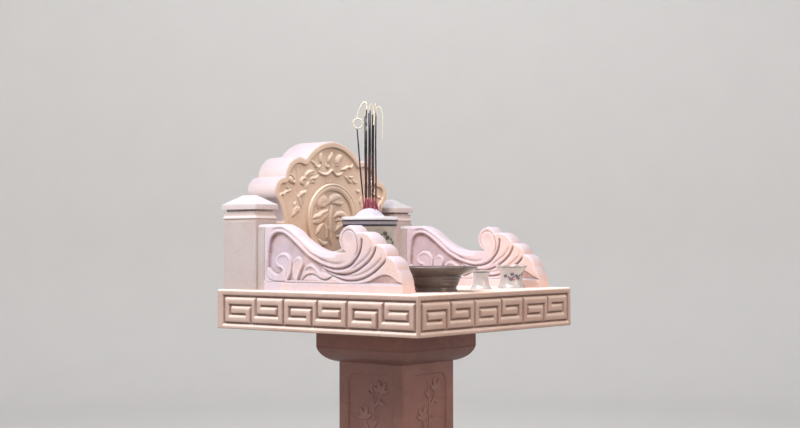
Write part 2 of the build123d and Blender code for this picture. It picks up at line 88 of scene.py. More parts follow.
def soft_line(points, step=2.5):
    """Places about a step apart on a soft curve through the points."""
    points = np.array(points, float)
    ends = np.vstack([2 * points[0] - points[1], points, 2 * points[-1] - points[-2]])
    pieces = []
    for number in range(len(points) - 1):
        before, start, end, after = ends[number:number + 4]
        count = max(2, int(np.linalg.norm(end - start) / step))
        t = np.linspace(0, 1, count, endpoint=False)[:, None]
        rise = (end - before) * t
        bend = (2 * before - 5 * start + 4 * end - after) * t ** 2
        turn = (3 * start - before - 3 * end + after) * t ** 3
        pieces.append(start + (rise + bend + turn) / 2)
    return np.vstack(pieces + [points[-1:]])


def soft_loop(points):
    """Places about a step apart on a soft closed curve through the points."""
    return soft_line(points + points[:1])[:-1]


def closed(outline):
    """The outline with its first point again at its end."""
    return np.vstack([outline, outline[:1]])


def arc(start, end, bulge, count=16):
    """Places on the arc that stands out by the bulge to the right of the way from start to end."""
    start = np.array(start, float)
    end = np.array(end, float)
    chord = end - start
    length = np.linalg.norm(chord)
    side = np.array([chord[1], -chord[0]]) / length
    half_turn = 2 * np.arctan(2 * bulge / length)
    radius = length / (2 * np.sin(half_turn))
    angles = np.linspace(-half_turn, half_turn, count + 1)[:, None]
    middle = (start + end) / 2 + side * (bulge - radius)
    return middle + radius * (np.cos(angles) * side + np.sin(angles) * chord / length)


def nearest(places, line):
    """How far each place is from the line, and the point of the line nearest to it."""
    distance = np.full(len(places), np.inf)
    foot = np.zeros_like(places)
    for start, end in zip(line, line[1:]):
        way = end - start
        share = np.clip((places - start) @ way / max(way @ way, 1e-9), 0, 1)
        point = start + share[:, None] * way
        gap = np.hypot(*(places - point).T)
        closer = gap < distance
        distance[closer] = gap[closer]
        foot[closer] = point[closer]
    return distance, foot


def away_from(places, line):
    return nearest(places, line)[0]


def inside(places, outline):
    """Whether each place lies inside the closed outline."""
    x, y = places.T
    odd = np.zeros(len(places), bool)
    for (ax, ay), (bx, by) in zip(outline, np.roll(outline, -1, axis=0)):
        if ay != by:
            crosses = (ay > y) != (by > y)
            odd ^= crosses & (x < (bx - ax) * (y - ay) / (by - ay) + ax)
    return odd


def inset_in(places, outline):
    """Distance inward from the closed outline, negative outside."""
    distance = away_from(places, closed(outline))
    return np.where(inside(places, outline), distance, -distance)


def ease(value, start, end):
    """0 up to the start, 1 past the end, and a soft step between."""
    t = np.clip((value - start) / (end - start), 0, 1)
    return t * t * (3 - 2 * t)


def quarter_round(value, width):
    """0 at the edge, 1 a width in, rising like a quarter circle."""
    t = np.clip(value / width, 0, 1)
    return np.sqrt(1 - (1 - t) ** 2)


def hollowed(distance, depth, width):
    """The full depth at no distance, and a round rise to nothing a width away."""
    return depth * (1 - quarter_round(distance, width))


def cut_groove(distance, floor, depth, width):
    """A groove by the distance from its middle line: half its flat floor, its depth, its round side."""
    return hollowed(distance - floor, depth, width)


def bead(places, line, widths, height):
    """A rounded ridge along the line, its width running from the first to the last one given."""
    line = soft_line(line, 3)
    runs = np.hypot(*np.diff(line, axis=0).T)
    shares = np.concatenate([[0], np.cumsum(runs)]) / runs.sum()
    given = np.linspace(0, 1, len(widths))
    raised = np.zeros(len(places))
    reach = max(widths) + 2
    near = np.all((places > line.min(0) - reach) & (places < line.max(0) + reach), axis=1)
    spots = places[near]
    best = np.zeros(len(spots))
    for number in range(len(line) - 1):
        start, end = line[number], line[number + 1]
        way = end - start
        share = np.clip((spots - start) @ way / (way @ way), 0, 1)
        gap = np.hypot(*(spots - start - share[:, None] * way).T)
        along = shares[number] + share * (shares[number + 1] - shares[number])
        width = np.interp(along, given, widths)
        full = np.minimum(1, width / max(widths) * 1.4)
        best = np.maximum(best, full * np.sqrt(np.clip(1 - (gap / np.maximum(width, 0.1)) ** 2, 0, 1)))
    raised[near] = best * height
    return raised


# Building and finishing pieces


def verts_of(geometry):
    return [part for part in geometry if isinstance(part, bmesh.types.BMVert)]


def border_of(bm):
    return [edge for edge in bm.edges if edge.is_boundary]


def close_holes(bm):
    bmesh.ops.holes_fill(bm, edges=border_of(bm), sides=0)


def doubled(bm):
    """Copy the whole mesh in place, and give what the copying made."""
    return bmesh.ops.duplicate(bm, geom=[*bm.verts, *bm.edges, *bm.faces])


def laid(bm, verts, turn, place):
    """Turn some points about the origin, then bring them to the place, all in the XY plane."""
    bmesh.ops.rotate(bm, verts=verts, cent=(0, 0, 0), matrix=Matrix.Rotation(turn, 3, "Z"))
    bmesh.ops.translate(bm, verts=verts, vec=(place[0], place[1], 0))


def finish_piece(name, bm, finish, nodes, crease=38):
    """Close the mesh, bring it to metres, and hang it on the altar in place of any nodes named."""
    bmesh.ops.remove_doubles(bm, verts=bm.verts, dist=weld_gap)
    bmesh.ops.dissolve_degenerate(bm, edges=bm.edges, dist=sliver)
    bmesh.ops.recalc_face_normals(bm, faces=bm.faces)
    bmesh.ops.scale(bm, verts=bm.verts, vec=(METRES, METRES, METRES))
    mesh = bpy.data.meshes.new(name)
    bm.to_mesh(mesh)
    bm.free()
    mesh.shade_smooth()
    mesh.set_sharp_from_angle(angle=radians(crease))
    mesh.materials.append(finish)
    piece = bpy.data.objects.new(name, mesh)
    bpy.context.collection.objects.link(piece)
    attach(piece, "root")
    if nodes:
        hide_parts(*nodes)
    return piece


def mirrored(bm):
    """A copy of the mesh for the altar's other side."""
    copy = bm.copy()
    for vert in copy.verts:
        vert.co.x = -vert.co.x
    return copy


def flat_net(low, high, spacing):
    """A flat net of squares over the box, in the XY plane."""
    low, high = np.array(low, float), np.array(high, float)
    counts = np.maximum(1, np.round((high - low) / spacing)).astype(int)
    bm = bmesh.new()
    bmesh.ops.create_grid(bm, x_segments=int(counts[0]), y_segments=int(counts[1]), size=0.5)
    for vert in bm.verts:
        share = (vert.co.x + 0.5, vert.co.y + 0.5)
        vert.co = (*(low + np.array(share) * (high - low)), 0)
    return bm


def places_of(bm):
    return np.array([vert.co[:2] for vert in bm.verts])


def cut_net(outline, spacing):
    """A flat net of squares cut to the outline, with its border drawn onto the outline."""
    bm = flat_net(outline.min(0), outline.max(0), spacing)
    depth = inset_in(places_of(bm), outline)
    outer = [vert for vert, value in zip(bm.verts, depth) if value < -0.45 * spacing]
    bmesh.ops.delete(bm, geom=outer, context="VERTS")
    loose = [vert for vert in bm.verts if not vert.link_faces]
    bmesh.ops.delete(bm, geom=loose, context="VERTS")
    border = [vert for vert in bm.verts if vert.is_boundary]
    feet = nearest(np.array([vert.co[:2] for vert in border]), closed(outline))[1]
    for vert, place in zip(border, feet):
        vert.co = (place[0], place[1], 0)
    return bm


def spun(profile, middle, steps=96):
    """A turned piece from its profile (radius, height), open or closed, about an upright axis."""
    bm = bmesh.new()
    verts = [bm.verts.new((middle[0] + radius, middle[1], height)) for radius, height in profile]
    edges = [bm.edges.new(pair) for pair in zip(verts, verts[1:])]
    bmesh.ops.spin(bm, geom=verts + edges, cent=(middle[0], middle[1], 0), axis=(0, 0, 1),
                   angle=2 * pi, steps=steps, use_merge=True)
    return bm


def carve(bm, depths, to_space, hollows):
    """Move the flat net's points into space, each sunk by its depth, and note how much painted shade and
    dirt it gets in its hollow.
    """
    layer = bm.verts.layers.float.new("hollow")
    for vert, depth, hollow in zip(bm.verts, depths, hollows):
        vert[layer] = float(hollow)
        vert.co = to_space(vert.co.x, vert.co.y, float(depth))


# Materials


def rgba(tone):
    return (*tone, 1)


def fill(tree, made, inputs):
    """Set a node's inputs, each from a plain value or another node's output."""
    for key, value in inputs.items():
        if isinstance(value, bpy.types.NodeSocket):
            tree.links.new(value, made.inputs[key])
        else:
            made.inputs[key].default_value = value


def node(tree, kind, place, inputs=None, **settings):
    made = tree.nodes.new(kind)
    made.location = place
    for key, value in settings.items():
        setattr(made, key, value)
    fill(tree, made, inputs or {})
    return made


def cloud(tree, place, where, scale, detail, distortion=0.0, roughness=0.5):
    made = node(tree, "ShaderNodeTexNoise", place, {
        "Vector": where, "Scale": scale, "Detail": detail, "Roughness": roughness,
        "Distortion": distortion})
    return made.outputs["Fac"]


def mapped(tree, place, value, low, high, to_low=0.0, to_high=1.0):
    made = node(tree, "ShaderNodeMapRange", place, {
        "Value": value, "From Min": low, "From Max": high, "To Min": to_low, "To Max": to_high})
    return made.outputs["Result"]


def worked(tree, place, operation, *values, clamp=False):
    made = node(tree, "ShaderNodeMath", place, dict(enumerate(values)), operation=operation,
                use_clamp=clamp)
    return made.outputs[0]


def mixed(tree, place, factor, first, second, blend="MIX"):
    """Two colours mixed. A colour Mix node's own sockets are the seventh and eighth."""
    made = node(tree, "ShaderNodeMix", place, {"Factor": factor, 6: first, 7: second},
                data_type="RGBA", blend_type=blend)
    return made.outputs[2]


def marble_group():
    """Cloudy marble with faint veins, a painted top light on what faces up, painted shade on what faces
    down, and painted shade with grime in its hollows.
    """
    tree = bpy.data.node_groups.new("hand carved marble", "ShaderNodeTree")
    for name, value in (
            ("Light tone", rgba((0.8, 0.7, 0.62))), ("Deep tone", rgba((0.7, 0.5, 0.4))),
            ("Painted top light tone", rgba((0.8, 0.75, 0.75))), ("Shade and grime", rgba((0.2, 0.12, 0.1))),
            ("Shade and grime amount", 0.5), ("Cloud size", 8.0), ("Painted bounce to the front", 0.0),
            ("Painted underside shade", 0.55)):
        kind = "NodeSocketFloat" if isinstance(value, float) else "NodeSocketColor"
        made = tree.interface.new_socket(name=name, in_out="INPUT", socket_type=kind)
        made.default_value = value
    for name, kind in (("Color", "Color"), ("Roughness", "Float"), ("Height", "Float")):
        tree.interface.new_socket(name=name, in_out="OUTPUT", socket_type="NodeSocket" + kind)
    given = node(tree, "NodeGroupInput", (-1200, 0)).outputs
    where = node(tree, "ShaderNodeTexCoord", (-1200, -300)).outputs["Object"]

    # Clouds of two tones, the deep one gaining downward and to the front where that is asked for, as
    # painted warm bounce light
    clouds = cloud(tree, (-900, 200), where, given["Cloud size"], 5, 0.6, 0.6)
    spread = mapped(tree, (-700, 200), clouds, 0.33, 0.67)
    spot = node(tree, "ShaderNodeSeparateXYZ", (-1000, 450), {"Vector": where}).outputs
    rearward = worked(tree, (-850, 450), "MULTIPLY_ADD", spot["Z"], 0.7, spot["Y"])
    frontal = mapped(tree, (-700, 450), rearward, 0.74, 1.0, 0.6, -0.4)
    share = worked(tree, (-550, 350), "MULTIPLY_ADD", frontal, given["Painted bounce to the front"], spread,
                   clamp=True)
    tones = mixed(tree, (-450, 200), share, given["Light tone"], given["Deep tone"])

    # Thin veins along the middle value of a noise, then a fine grain
    veins = cloud(tree, (-900, -50), where, 5.5, 7, 1.6)
    thin = worked(tree, (-700, -50), "SUBTRACT", veins, 0.5)
    width = worked(tree, (-550, -50), "ABSOLUTE", thin)
    vein = mapped(tree, (-400, -50), width, 0.0, 0.022, 0.12, 0.0)
    veined = mixed(tree, (-200, 150), vein, tones, given["Deep tone"], "MULTIPLY")
    grain = cloud(tree, (-900, -350), where, 260, 4)
    speck = mapped(tree, (-650, -350), grain, 0.3, 0.7, 0.94, 1.04)
    grained = mixed(tree, (0, 150), 1, veined, speck, "MULTIPLY")

    # Painted top light: what faces up takes its own tone, paler or toned down, and painted shade darkens
    # what faces down
    facing = node(tree, "ShaderNodeNewGeometry", (-900, 700)).outputs["Normal"]
    upward = node(tree, "ShaderNodeSeparateXYZ", (-700, 700), {"Vector": facing}).outputs["Z"]
    painted_top_light = mapped(tree, (-450, 800), upward, 0.08, 0.6, 0, 0.9)
    top_lit = mixed(tree, (150, 400), painted_top_light, grained, given["Painted top light tone"])
    shade_below = mapped(tree, (-450, 550), upward, -0.8, -0.1, given["Painted underside shade"], 1)
    shaded_underneath = mixed(tree, (300, 400), 1, top_lit, shade_below, "MULTIPLY")

    # Patchy painted shade with grime in the hollows, less where the painted top light lies
    hollow = node(tree, "ShaderNodeAttribute", (-900, -600), attribute_name="hollow").outputs["Fac"]
    smudge = cloud(tree, (-900, -800), where, 34, 5)
    patchy = mapped(tree, (-650, -800), smudge, 0.3, 0.65, 0.45, 1)
    patchy_shade_and_dirt = worked(tree, (-400, -650), "MULTIPLY", hollow, patchy)
    shade_and_dirt_share = worked(tree, (-200, -650), "MULTIPLY", patchy_shade_and_dirt, given["Shade and grime amount"], clamp=True)
    off_top_light = worked(tree, (0, -500), "SUBTRACT", 1, painted_top_light)
    shade_and_dirt_left = worked(tree, (150, -500), "MULTIPLY", shade_and_dirt_share, off_top_light)
    shaded_and_dirty = mixed(tree, (450, 100), shade_and_dirt_left, shaded_underneath, given["Shade and grime"])

    rough = mapped(tree, (250, -200), smudge, 0, 1, 0.42, 0.62)
    chisel = cloud(tree, (-650, -1000), where, 70, 6)
    height = worked(tree, (0, -700), "MULTIPLY_ADD", grain, 0.35, chisel)
    node(tree, "NodeGroupOutput", (900, 0), {"Color": shaded_and_dirty, "Roughness": rough, "Height": height})
    return tree


marble_look = marble_group()


def marble(name, light, deep, painted_top_light, shade_and_grime_tone, amount, cloud_size, bounce_to_front=0.0, underside_shade=0.55):
    """A stone finish from the shared marble, in the tones of one part of the altar, with its painted top
    light tone, painted underside shade, painted shade with grime, and painted bounce to the front.
    """
    finish = bpy.data.materials.new(name)
    finish.use_nodes = True
    tree = finish.node_tree
    look = node(tree, "ShaderNodeGroup", (-500, 100), {
        "Light tone": rgba(light), "Deep tone": rgba(deep), "Painted top light tone": rgba(painted_top_light),
        "Shade and grime": rgba(shade_and_grime_tone), "Shade and grime amount": amount, "Cloud size": cloud_size,
        "Painted bounce to the front": bounce_to_front, "Painted underside shade": underside_shade}, node_tree=marble_look)
    bump = node(tree, "ShaderNodeBump", (-250, -200), {
        "Height": look.outputs["Height"], "Strength": 0.22, "Distance": 0.0012})
    fill(tree, tree.nodes["Principled BSDF"], {
        "Base Color": look.outputs["Color"], "Roughness": look.outputs["Roughness"],
        "Normal": bump.outputs["Normal"], "Specular IOR Level": 0.4})
    return finish


# The wing's deep peach tone gains low and to the front, as painted warm bounce light.
wing_stone = marble("pale pink marble", (0.61, 0.525, 0.59), (0.745, 0.55, 0.5),
                    (0.54, 0.475, 0.52), (0.27, 0.14, 0.12), 1.0, 7, 0.8)
# The slab's bright top tone, dark underside and groove shade paint the lit and shaded walls of its key
# grooves.
slab_stone = marble("cream marble", (0.51, 0.375, 0.32), (0.44, 0.3, 0.24),
                    (0.94, 0.79, 0.7), (0.12, 0.035, 0.015), 0.95, 6, 0.0, 0.22)
panel_stone = marble("ochre marble", (0.7, 0.57, 0.455), (0.67, 0.49, 0.375),
                     (0.93, 0.81, 0.68), (0.3, 0.16, 0.09), 0.6, 8, 0.0, 0.4)
# A pinker stone with a dark top tone for the panel's rim and rear, as painted shade against the light on
# the rounded rim.
shaded_rim_stone = marble("pale edge marble with painted shade", (0.63, 0.54, 0.54), (0.64, 0.52, 0.465),
                          (0.45, 0.39, 0.415), (0.33, 0.2, 0.13), 0.6, 5)
post_stone = marble("grey cream marble", (0.505, 0.45, 0.44), (0.475, 0.395, 0.375),
                    (0.5, 0.48, 0.5), (0.18, 0.11, 0.09), 0.55, 9)
cap_stone = marble("pale grey cream marble", (0.57, 0.505, 0.515), (0.56, 0.475, 0.455),
                   (0.48, 0.465, 0.485), (0.18, 0.11, 0.09), 0.55, 9, 0.0, 0.35)
# A lighter stone for the posts' necks, as a painted highlight on their rolls.
highlighted_neck_stone = marble("highlighted light cream marble", (0.74, 0.65, 0.64), (0.73, 0.62, 0.57),
                    (0.78, 0.71, 0.7), (0.25, 0.14, 0.1), 0.7, 9, 0.0, 0.3)
# The column's dark red brown is partly the stone's own, partly painted shade under the slab.
column_stone = marble("red brown marble", (0.245, 0.117, 0.095), (0.195, 0.09, 0.074),
                      (0.26, 0.145, 0.125), (0.08, 0.04, 0.03), 0.5, 9)
# A lighter stone for the column's stems, as a painted highlight on the raised carving.
highlighted_stem_stone = marble("highlighted red brown marble", (0.258, 0.132, 0.112), (0.215, 0.107, 0.09),
                    (0.285, 0.167, 0.147), (0.08, 0.04, 0.03), 0.5, 9)
# A darker stone for the column's head, as painted shade.
shaded_head_stone = marble("shaded red brown marble", (0.215, 0.085, 0.062), (0.17, 0.066, 0.05),
                    (0.2, 0.11, 0.09), (0.06, 0.03, 0.02), 0.5, 9)


def plain_finish(name, tone, roughness, coat=0.0, speck=0.08, scale=90.0, bump_size=0.0004):
    """A finish of one colour, mottled a little, with a fine uneven surface."""
    finish = bpy.data.materials.new(name)
    finish.use_nodes = True
    tree = finish.node_tree
    where = node(tree, "ShaderNodeTexCoord", (-1000, 0)).outputs["Object"]
    mottle = cloud(tree, (-800, 0), where, scale, 5)
    ramp = mapped(tree, (-600, 0), mottle, 0.3, 0.7, 1 - speck, 1 + speck)
    tint = mixed(tree, (-400, 0), 1, rgba(tone), ramp, "MULTIPLY")
    bump = node(tree, "ShaderNodeBump", (-400, -300), {
        "Height": mottle, "Strength": 0.3, "Distance": bump_size})
    fill(tree, tree.nodes["Principled BSDF"], {
        "Base Color": tint, "Normal": bump.outputs["Normal"], "Roughness": roughness,
        "Coat Weight": coat, "Coat Roughness": 0.12})
    return finish


burner_glaze = plain_finish("grey green porcelain", (0.33, 0.32, 0.28), 0.3, 0.5, 0.15, 30)
rim_glaze = plain_finish("white porcelain", (0.74, 0.76, 0.81), 0.22, 0.6, 0.03)
band_glaze = plain_finish("blue grey porcelain", (0.25, 0.25, 0.29), 0.35, 0.3, 0.1)
line_glaze = plain_finish("dark blue line", (0.02, 0.022, 0.036), 0.5, 0, 0.1)
brown_paint = plain_finish("dark grey brown brushwork", (0.05, 0.045, 0.04), 0.5, 0, 0.3)
cup_glaze = plain_finish("pale cup porcelain", (0.47, 0.445, 0.44), 0.2, 0.7, 0.03)
petal_paint = plain_finish("grey blue petal", (0.1, 0.105, 0.15), 0.4, 0.3, 0.3)
bud_paint = plain_finish("faded red bud", (0.42, 0.12, 0.11), 0.4, 0.3, 0.2)
dark_glaze = plain_finish("dark brown glaze", (0.117, 0.088, 0.077), 0.32, 0.4, 0.25, 60)
ash_stuff = plain_finish("soft grey ash", (0.47, 0.455, 0.53), 0.95, 0, 0.18, 500, 0.002)
strand_stuff = plain_finish("cream burnt strand", (0.66, 0.62, 0.5), 0.9, 0, 0.15, 700)
stick_stuff = plain_finish("burnt incense stick", (0.016, 0.013, 0.016), 0.9, 0, 0.3, 900)
warm_stick_stuff = plain_finish("dark red incense stick", (0.05, 0.022, 0.028), 0.85, 0, 0.3, 900)
stub_stuff = plain_finish("red stick end", (0.34, 0.085, 0.115), 0.8, 0, 0.3, 900)


# Camera, floor and light, in metres


def set_the_camera():
    yaw, pitch, roll = radians(51.1), radians(1.11), radians(-0.1)
    look = Vector((sin(yaw) * cos(pitch), cos(yaw) * cos(pitch), sin(pitch)))
    lens = bpy.data.cameras.new("eye level view")
    lens.sensor_width = 36
    lens.lens = 62.9
    lens.clip_end = 100
    camera = bpy.data.objects.new("eye level view", lens)
    camera.location = (-2.6662, -2.1632, 1.3854)
    turn = look.to_track_quat("-Z", "Y").to_matrix() @ Matrix.Rotation(roll, 3, "Z")
    camera.rotation_euler = turn.to_euler()
    bpy.context.collection.objects.link(camera)
    bpy.context.scene.camera = camera


def build_floor():
    """A round pale floor that bends up into a wall."""
    reach, bend, wall_top = 8.5, 1.5, 7.0
    profile = [(0.001, 0), (reach, 0)]
    for step in range(1, 13):
        turn = radians(7.5 * step)
        profile.append((reach + bend * sin(turn), bend - bend * cos(turn)))
    floor_net = spun(profile + [(reach + bend, wall_top)], (0, 0))
    bmesh.ops.remove_doubles(floor_net, verts=floor_net.verts, dist=0.002)
    bmesh.ops.recalc_face_normals(floor_net, faces=floor_net.faces)
    bmesh.ops.reverse_faces(floor_net, faces=floor_net.faces)
    mesh = bpy.data.meshes.new("floor")
    floor_net.to_mesh(mesh)
    floor_net.free()
    mesh.shade_smooth()
    mesh.materials.append(plain_finish("pale studio floor", (0.72, 0.71, 0.7), 0.9, 0, 0.01, 3))
    floor = bpy.data.objects.new("floor", mesh)
    bpy.context.collection.objects.link(floor)


def soft_light(name, place, target, size, power, tone):
    data = bpy.data.lights.new(name, "AREA")
    data.shape = "DISK"
    data.size = size
    data.energy = power
    data.color = tone
    light = bpy.data.objects.new(name, data)
    light.location = place
    light.rotation_euler = (Vector(target) - Vector(place)).to_track_quat("-Z", "Y").to_euler()
    bpy.context.collection.objects.link(light)


def set_the_lights():
    soft_light("overhead", (-0.35, -0.1, 3.3), (0, 0, 1.3), 1.6, 46, (0.98, 0.97, 1.0))
    soft_light("left key", (-2.3, 0.5, 3.6), (0, 0, 1.3), 1.4, 84, (1.0, 0.97, 1.0))
    soft_light("front fill", (-0.2, -3.1, 2.7), (0, 0, 1.2), 2.0, 41, (1.0, 0.77, 0.64))
    for turn in range(4):
        angle = radians(38.9 + 90 * turn)
        out = Vector((cos(angle), sin(angle), 0))
        soft_light(f"backdrop wash {turn}", out * 4.5 + UP * 6.6, out * 9.5 + UP * 1.6, 3.0, 240,
                   (1, 1, 1))
    world = bpy.context.scene.world or bpy.data.worlds.new("studio")
    bpy.context.scene.world = world
    world.use_nodes = True
    backdrop = world.node_tree.nodes["Background"]
    backdrop.inputs["Color"].default_value = rgba((0.9, 0.93, 1.0))
    backdrop.inputs["Strength"].default_value = 0.1
    bpy.context.scene.view_settings.view_transform = "Standard"


# Side wings. Places are (y, height above the table) on the outer face

wing_height = 155.5
wing_crest = (110.0, wing_height)
wing_strap_top = [wing_crest, (77.0, 141.0), (52.0, 122.0), (14.0, 102.0), (-20.0, 92.0), (-60.0, 89.0)]
volute_middle = np.array([-101.0, 119.0])
volute_radius = 32.5
volute_foot = np.array([-86.0, 91.0])
boss_middle = np.array([-98.0, 119.0])
volute_curl = [
    (-83, 100), (-79, 108), (-77, 118), (-80, 129), (-87, 137), (-98, 140.5), (-109, 137.5), (-117, 130),
    (-121.5, 120), (-124, 109), (-123.5, 98), (-119.5, 87), (-112, 78), (-104, 72),
]
wing_lobes = [(-121.0, 134.5), (-176.0, 108.5), (-210.0, 82.0), (-240.0, 52.5), (-254.0, 8.0)]
wing_lobe_bulges = [12.0, 10.0, 7.0, 3.5]

strap_edge = [
    (153, 54), (152, 81), (149, 103), (143, 121), (131, 131), (114, 133), (98, 128), (73, 112),
    (49, 94), (24, 77), (-7, 63), (-26, 57), (-44, 53), (-63, 51.5), (-84, 54), (-103, 61),
    (-118, 74), (-128, 87), (-134, 102), (-136, 118),
]
fan_grooves = [
    [(-12, 60), (-26, 50), (-53, 41.5), (-77, 39), (-99, 41.5), (-120, 48), (-142, 60), (-160, 74),
     (-171, 88), (-177, 103), (-175, 112)],
    [(-20, 52), (-34, 43), (-53, 35), (-81, 27), (-104, 25.5), (-128, 28), (-152, 35.5), (-174, 47),
     (-193, 61), (-205, 73), (-207, 82)],
]
field_edge = strap_edge[:11] + [
    (-16, 57), (-14, 40), (-30, 31), (-46, 34), (-50, 27), (-40, 23),
    (50, 23), (98, 24), (99, 38), (106, 45), (113, 41.5), (119, 37.5), (127, 36), (136, 38.5), (145, 44.5),
]
scroll_form = [
    (112, 51), (118, 52), (126, 56), (132, 64), (131, 73), (127, 80), (118, 86), (107, 88.5),
    (94, 86), (84, 78), (79, 68), (78.5, 57), (80, 45), (84, 35), (93, 23), (112, 23),
    (106, 33), (106, 42),
]
scroll_under = [
    (153, 86), (156, 68), (159.5, 50), (159.5, 37), (153, 27), (141, 22), (124, 20.5), (100, 20.5),
]
drop_form = [
    (61, 23), (70, 24), (76, 38), (76.5, 55), (72, 71), (61, 79), (49, 75.5), (43, 66), (44.5, 56),
    (51, 44), (56, 33),
]
hump_form = [
    (53, 23), (49, 33), (44, 44), (39, 53), (32, 60.5), (20, 63.5), (9, 60.5), (-2, 52.5),
    (-14, 41), (-30, 33), (-46, 37), (-53, 31), (-48, 23),
]
hump_leaf = [(37, 46), (28, 54), (15, 55.5), (1, 47.5), (10, 46.5), (22, 45)]
hump_groove = [(44, 25), (38, 31), (27, 37), (12, 38.5), (-2, 33.5), (-14, 27.5), (-32, 27), (-47, 35)]
toe_hollow = [
    (-122, 20), (-128, 22), (-152, 24.5), (-170, 31), (-187, 38), (-201, 41), (-214, 40),
    (-226, 35), (-237, 27), (-247, 20),
]
base_height = 18.0
wing_net = 1.3
field_cut = 6.5
leaf_cut = 2.4
toe_cut = 4.2
# Raised forms: the outline, the width of its round side, and how far its middle is dished
standing_forms = ((scroll_form, 4.5, 0.26), (drop_form, 4.0, 0.2), (hump_form, 4.5, 0.1))
# Grooves: half the flat floor, the depth, and the width of the round side
hump_cut = (0.4, 5.0, 6.0)
scroll_cut = (0.3, 2.8, 5.0)
strap_cut = (0.9, 6.5, 6.5)
fan_cut = (0.7, 6.0, 8.0)
rear_cut = (0.5, 3.5, 2.6)
ledge_cut = (0.2, 2.0, 3.2)


def wing_top_line():
    """The wing's upper outline, from the rear top corner to the toe."""
    strap = soft_line(wing_strap_top, 2)
    start = np.arctan2(*(volute_foot - volute_middle)[::-1])
    angles = np.linspace(start, pi / 2, 28)[:, None]
    volute = volute_middle + volute_radius * np.hstack([np.cos(angles), np.sin(angles)])
    shoulder = arc(volute[-1], wing_lobes[0], 2.4, 8)
    pieces = [[(wing_rear, wing_height)], strap, [volute_foot], volute, shoulder]
    for start, end, bulge in zip(wing_lobes, wing_lobes[1:], wing_lobe_bulges):
        pieces.append(arc(start, end, bulge, 12))
    return np.vstack(pieces)


def wing_outline():
    rear = [(wing_rear, wing_height), (wing_rear, 0)]
    return np.vstack([wing_top_line()[::-1], rear, [(wing_front, 0)]])


def wing_carving(places):
    """How deep each place of the wing's face is carved, and how much painted shade and dirt it gets."""
    y, z = places.T
    top_line = wing_top_line()
    from_top = away_from(places, top_line)
    from_boss = np.hypot(*(places - boss_middle).T)
    strap = soft_line(strap_edge)

    # The sunk field with its forms left standing, and the hollow over the toe
    field = inset_in(places, soft_loop(field_edge))
    sunk = field_cut * ease(field, -0.6, 2.4)
    raised = np.zeros(len(places))
    for form, rim, dish in standing_forms:
        inward = inset_in(places, soft_loop(form))
        hill = quarter_round(inward + 0.4, rim) - dish * ease(inward, rim, rim * 2.2)
        raised = np.maximum(raised, hill)
    depth = sunk * (1 - raised)
    depth += leaf_cut * ease(inset_in(places, soft_loop(hump_leaf)), -0.5, 2.5)
    on_hump = away_from(places, soft_line(hump_groove))
    depth = np.maximum(depth, cut_groove(on_hump, *hump_cut))
    under = away_from(places, soft_line(scroll_under))
    depth = np.maximum(depth, cut_groove(under, *scroll_cut) * ease(-z, -88, -66))
    toe = inset_in(places, soft_loop(toe_hollow))
    depth = np.maximum(depth, toe_cut * ease(toe, -0.5, 2.2))

    # The groove under the strap with a cove above it, and the fan of dished grooves
    edge = away_from(places, strap)
    from_volute = np.hypot(*(places - volute_middle).T)
    above = (field < 0) & (from_top < 60) & (z > np.interp(-y, [20, 60, 110], [0, 45, 60]))
    cove = 2.3 * np.exp(-((edge - 12.0) / 3.6) ** 2) * above * ease(-y, -150, -125)
    depth = np.maximum(depth, cut_groove(edge, *strap_cut)) + cove * ease(y, -95, -60)
    for line in fan_grooves:
        distance, foot = nearest(places, soft_line(line))
        inner_side = from_volute < np.hypot(*(foot - volute_middle).T)
        dish = 2.4 * np.exp(-((distance - 11.0) / 3.4) ** 2) * inner_side * ease(edge, 7, 12)
        to_end = np.hypot(*(places - line[-1]).T)
        cut = cut_groove(distance, *fan_cut) * ease(to_end, -2, 20)
        depth = np.maximum(depth, cut) + dish * ease(from_top, 8, 20)

    # The volute's curl round its boss
    curl = away_from(places, soft_line(volute_curl))
    fade = ease(z, 70, 96)
    curl_depth = (2.2 + 1.6 * ease(-y, 108, 122)) * fade
    depth = np.maximum(depth, cut_groove(curl, 0.4, curl_depth, 3.4))
    depth += 1.1 * ease(18.0 - from_boss, 0, 12) * fade

    # The line in front of the rear strip, and the line over the base
    rear_groove = cut_groove(np.abs(y - (wing_strip + 0.5)), *rear_cut) * ease(z, 20, 24)
    depth = np.maximum(depth, rear_groove)
    ledge = cut_groove(np.abs(z - base_height - 1.2), *ledge_cut) * ease(-y, -160, -150)
    depth = np.maximum(depth, ledge)

    # The upper edge: a facet that varies along it, and a rounding
    facet_width = np.interp(y, [-66, -60, -50, -15, 20, 60, 105, 187], [0, 8, 12, 13, 12, 9, 6, 6])
    facet_slope = np.interp(y, [60, 100], [0.5, 0.85])
    facet = facet_slope * np.clip(facet_width - from_top, 0, None)
    round_spots = [-254, -238, -205, -125, -96, -72, -62, 187]
    round_width = np.interp(y, round_spots, [3.5, 4.5, 5.5, 5.5, 5, 4.5, 3, 2.5])
    rounding = hollowed(from_top, round_width, round_width)
    depth = depth + facet + rounding
    # Painted shade and dirt by how deep the carving lies, strongest as a painted shadow along the edge of
    # the sunk field.
    hollows = np.clip(depth - facet - rounding - 0.7, 0, 5) / 5 * (1 - 0.65 * ease(field, 2, 9))
    return depth, hollows


def carved_wing():
    """One wing: the carved outer face, its wall to the middle, and the same again inward."""
    bm = cut_net(wing_outline(), wing_net)
    depths, hollows = wing_carving(places_of(bm))
    carve(bm, depths, lambda y, z, depth: (depth - wing_face, y, table_top + z), hollows)
    wall = bmesh.ops.extrude_edge_only(bm, edges=border_of(bm))["geom"]
    layer = bm.verts.layers.float["hollow"]
    for vert in verts_of(wall):
        vert.co.x = -wing_middle
        vert[layer] = 0
    for vert in verts_of(doubled(bm)["geom"]):
        vert.co.x = -2 * wing_middle - vert.co.x
    return bm


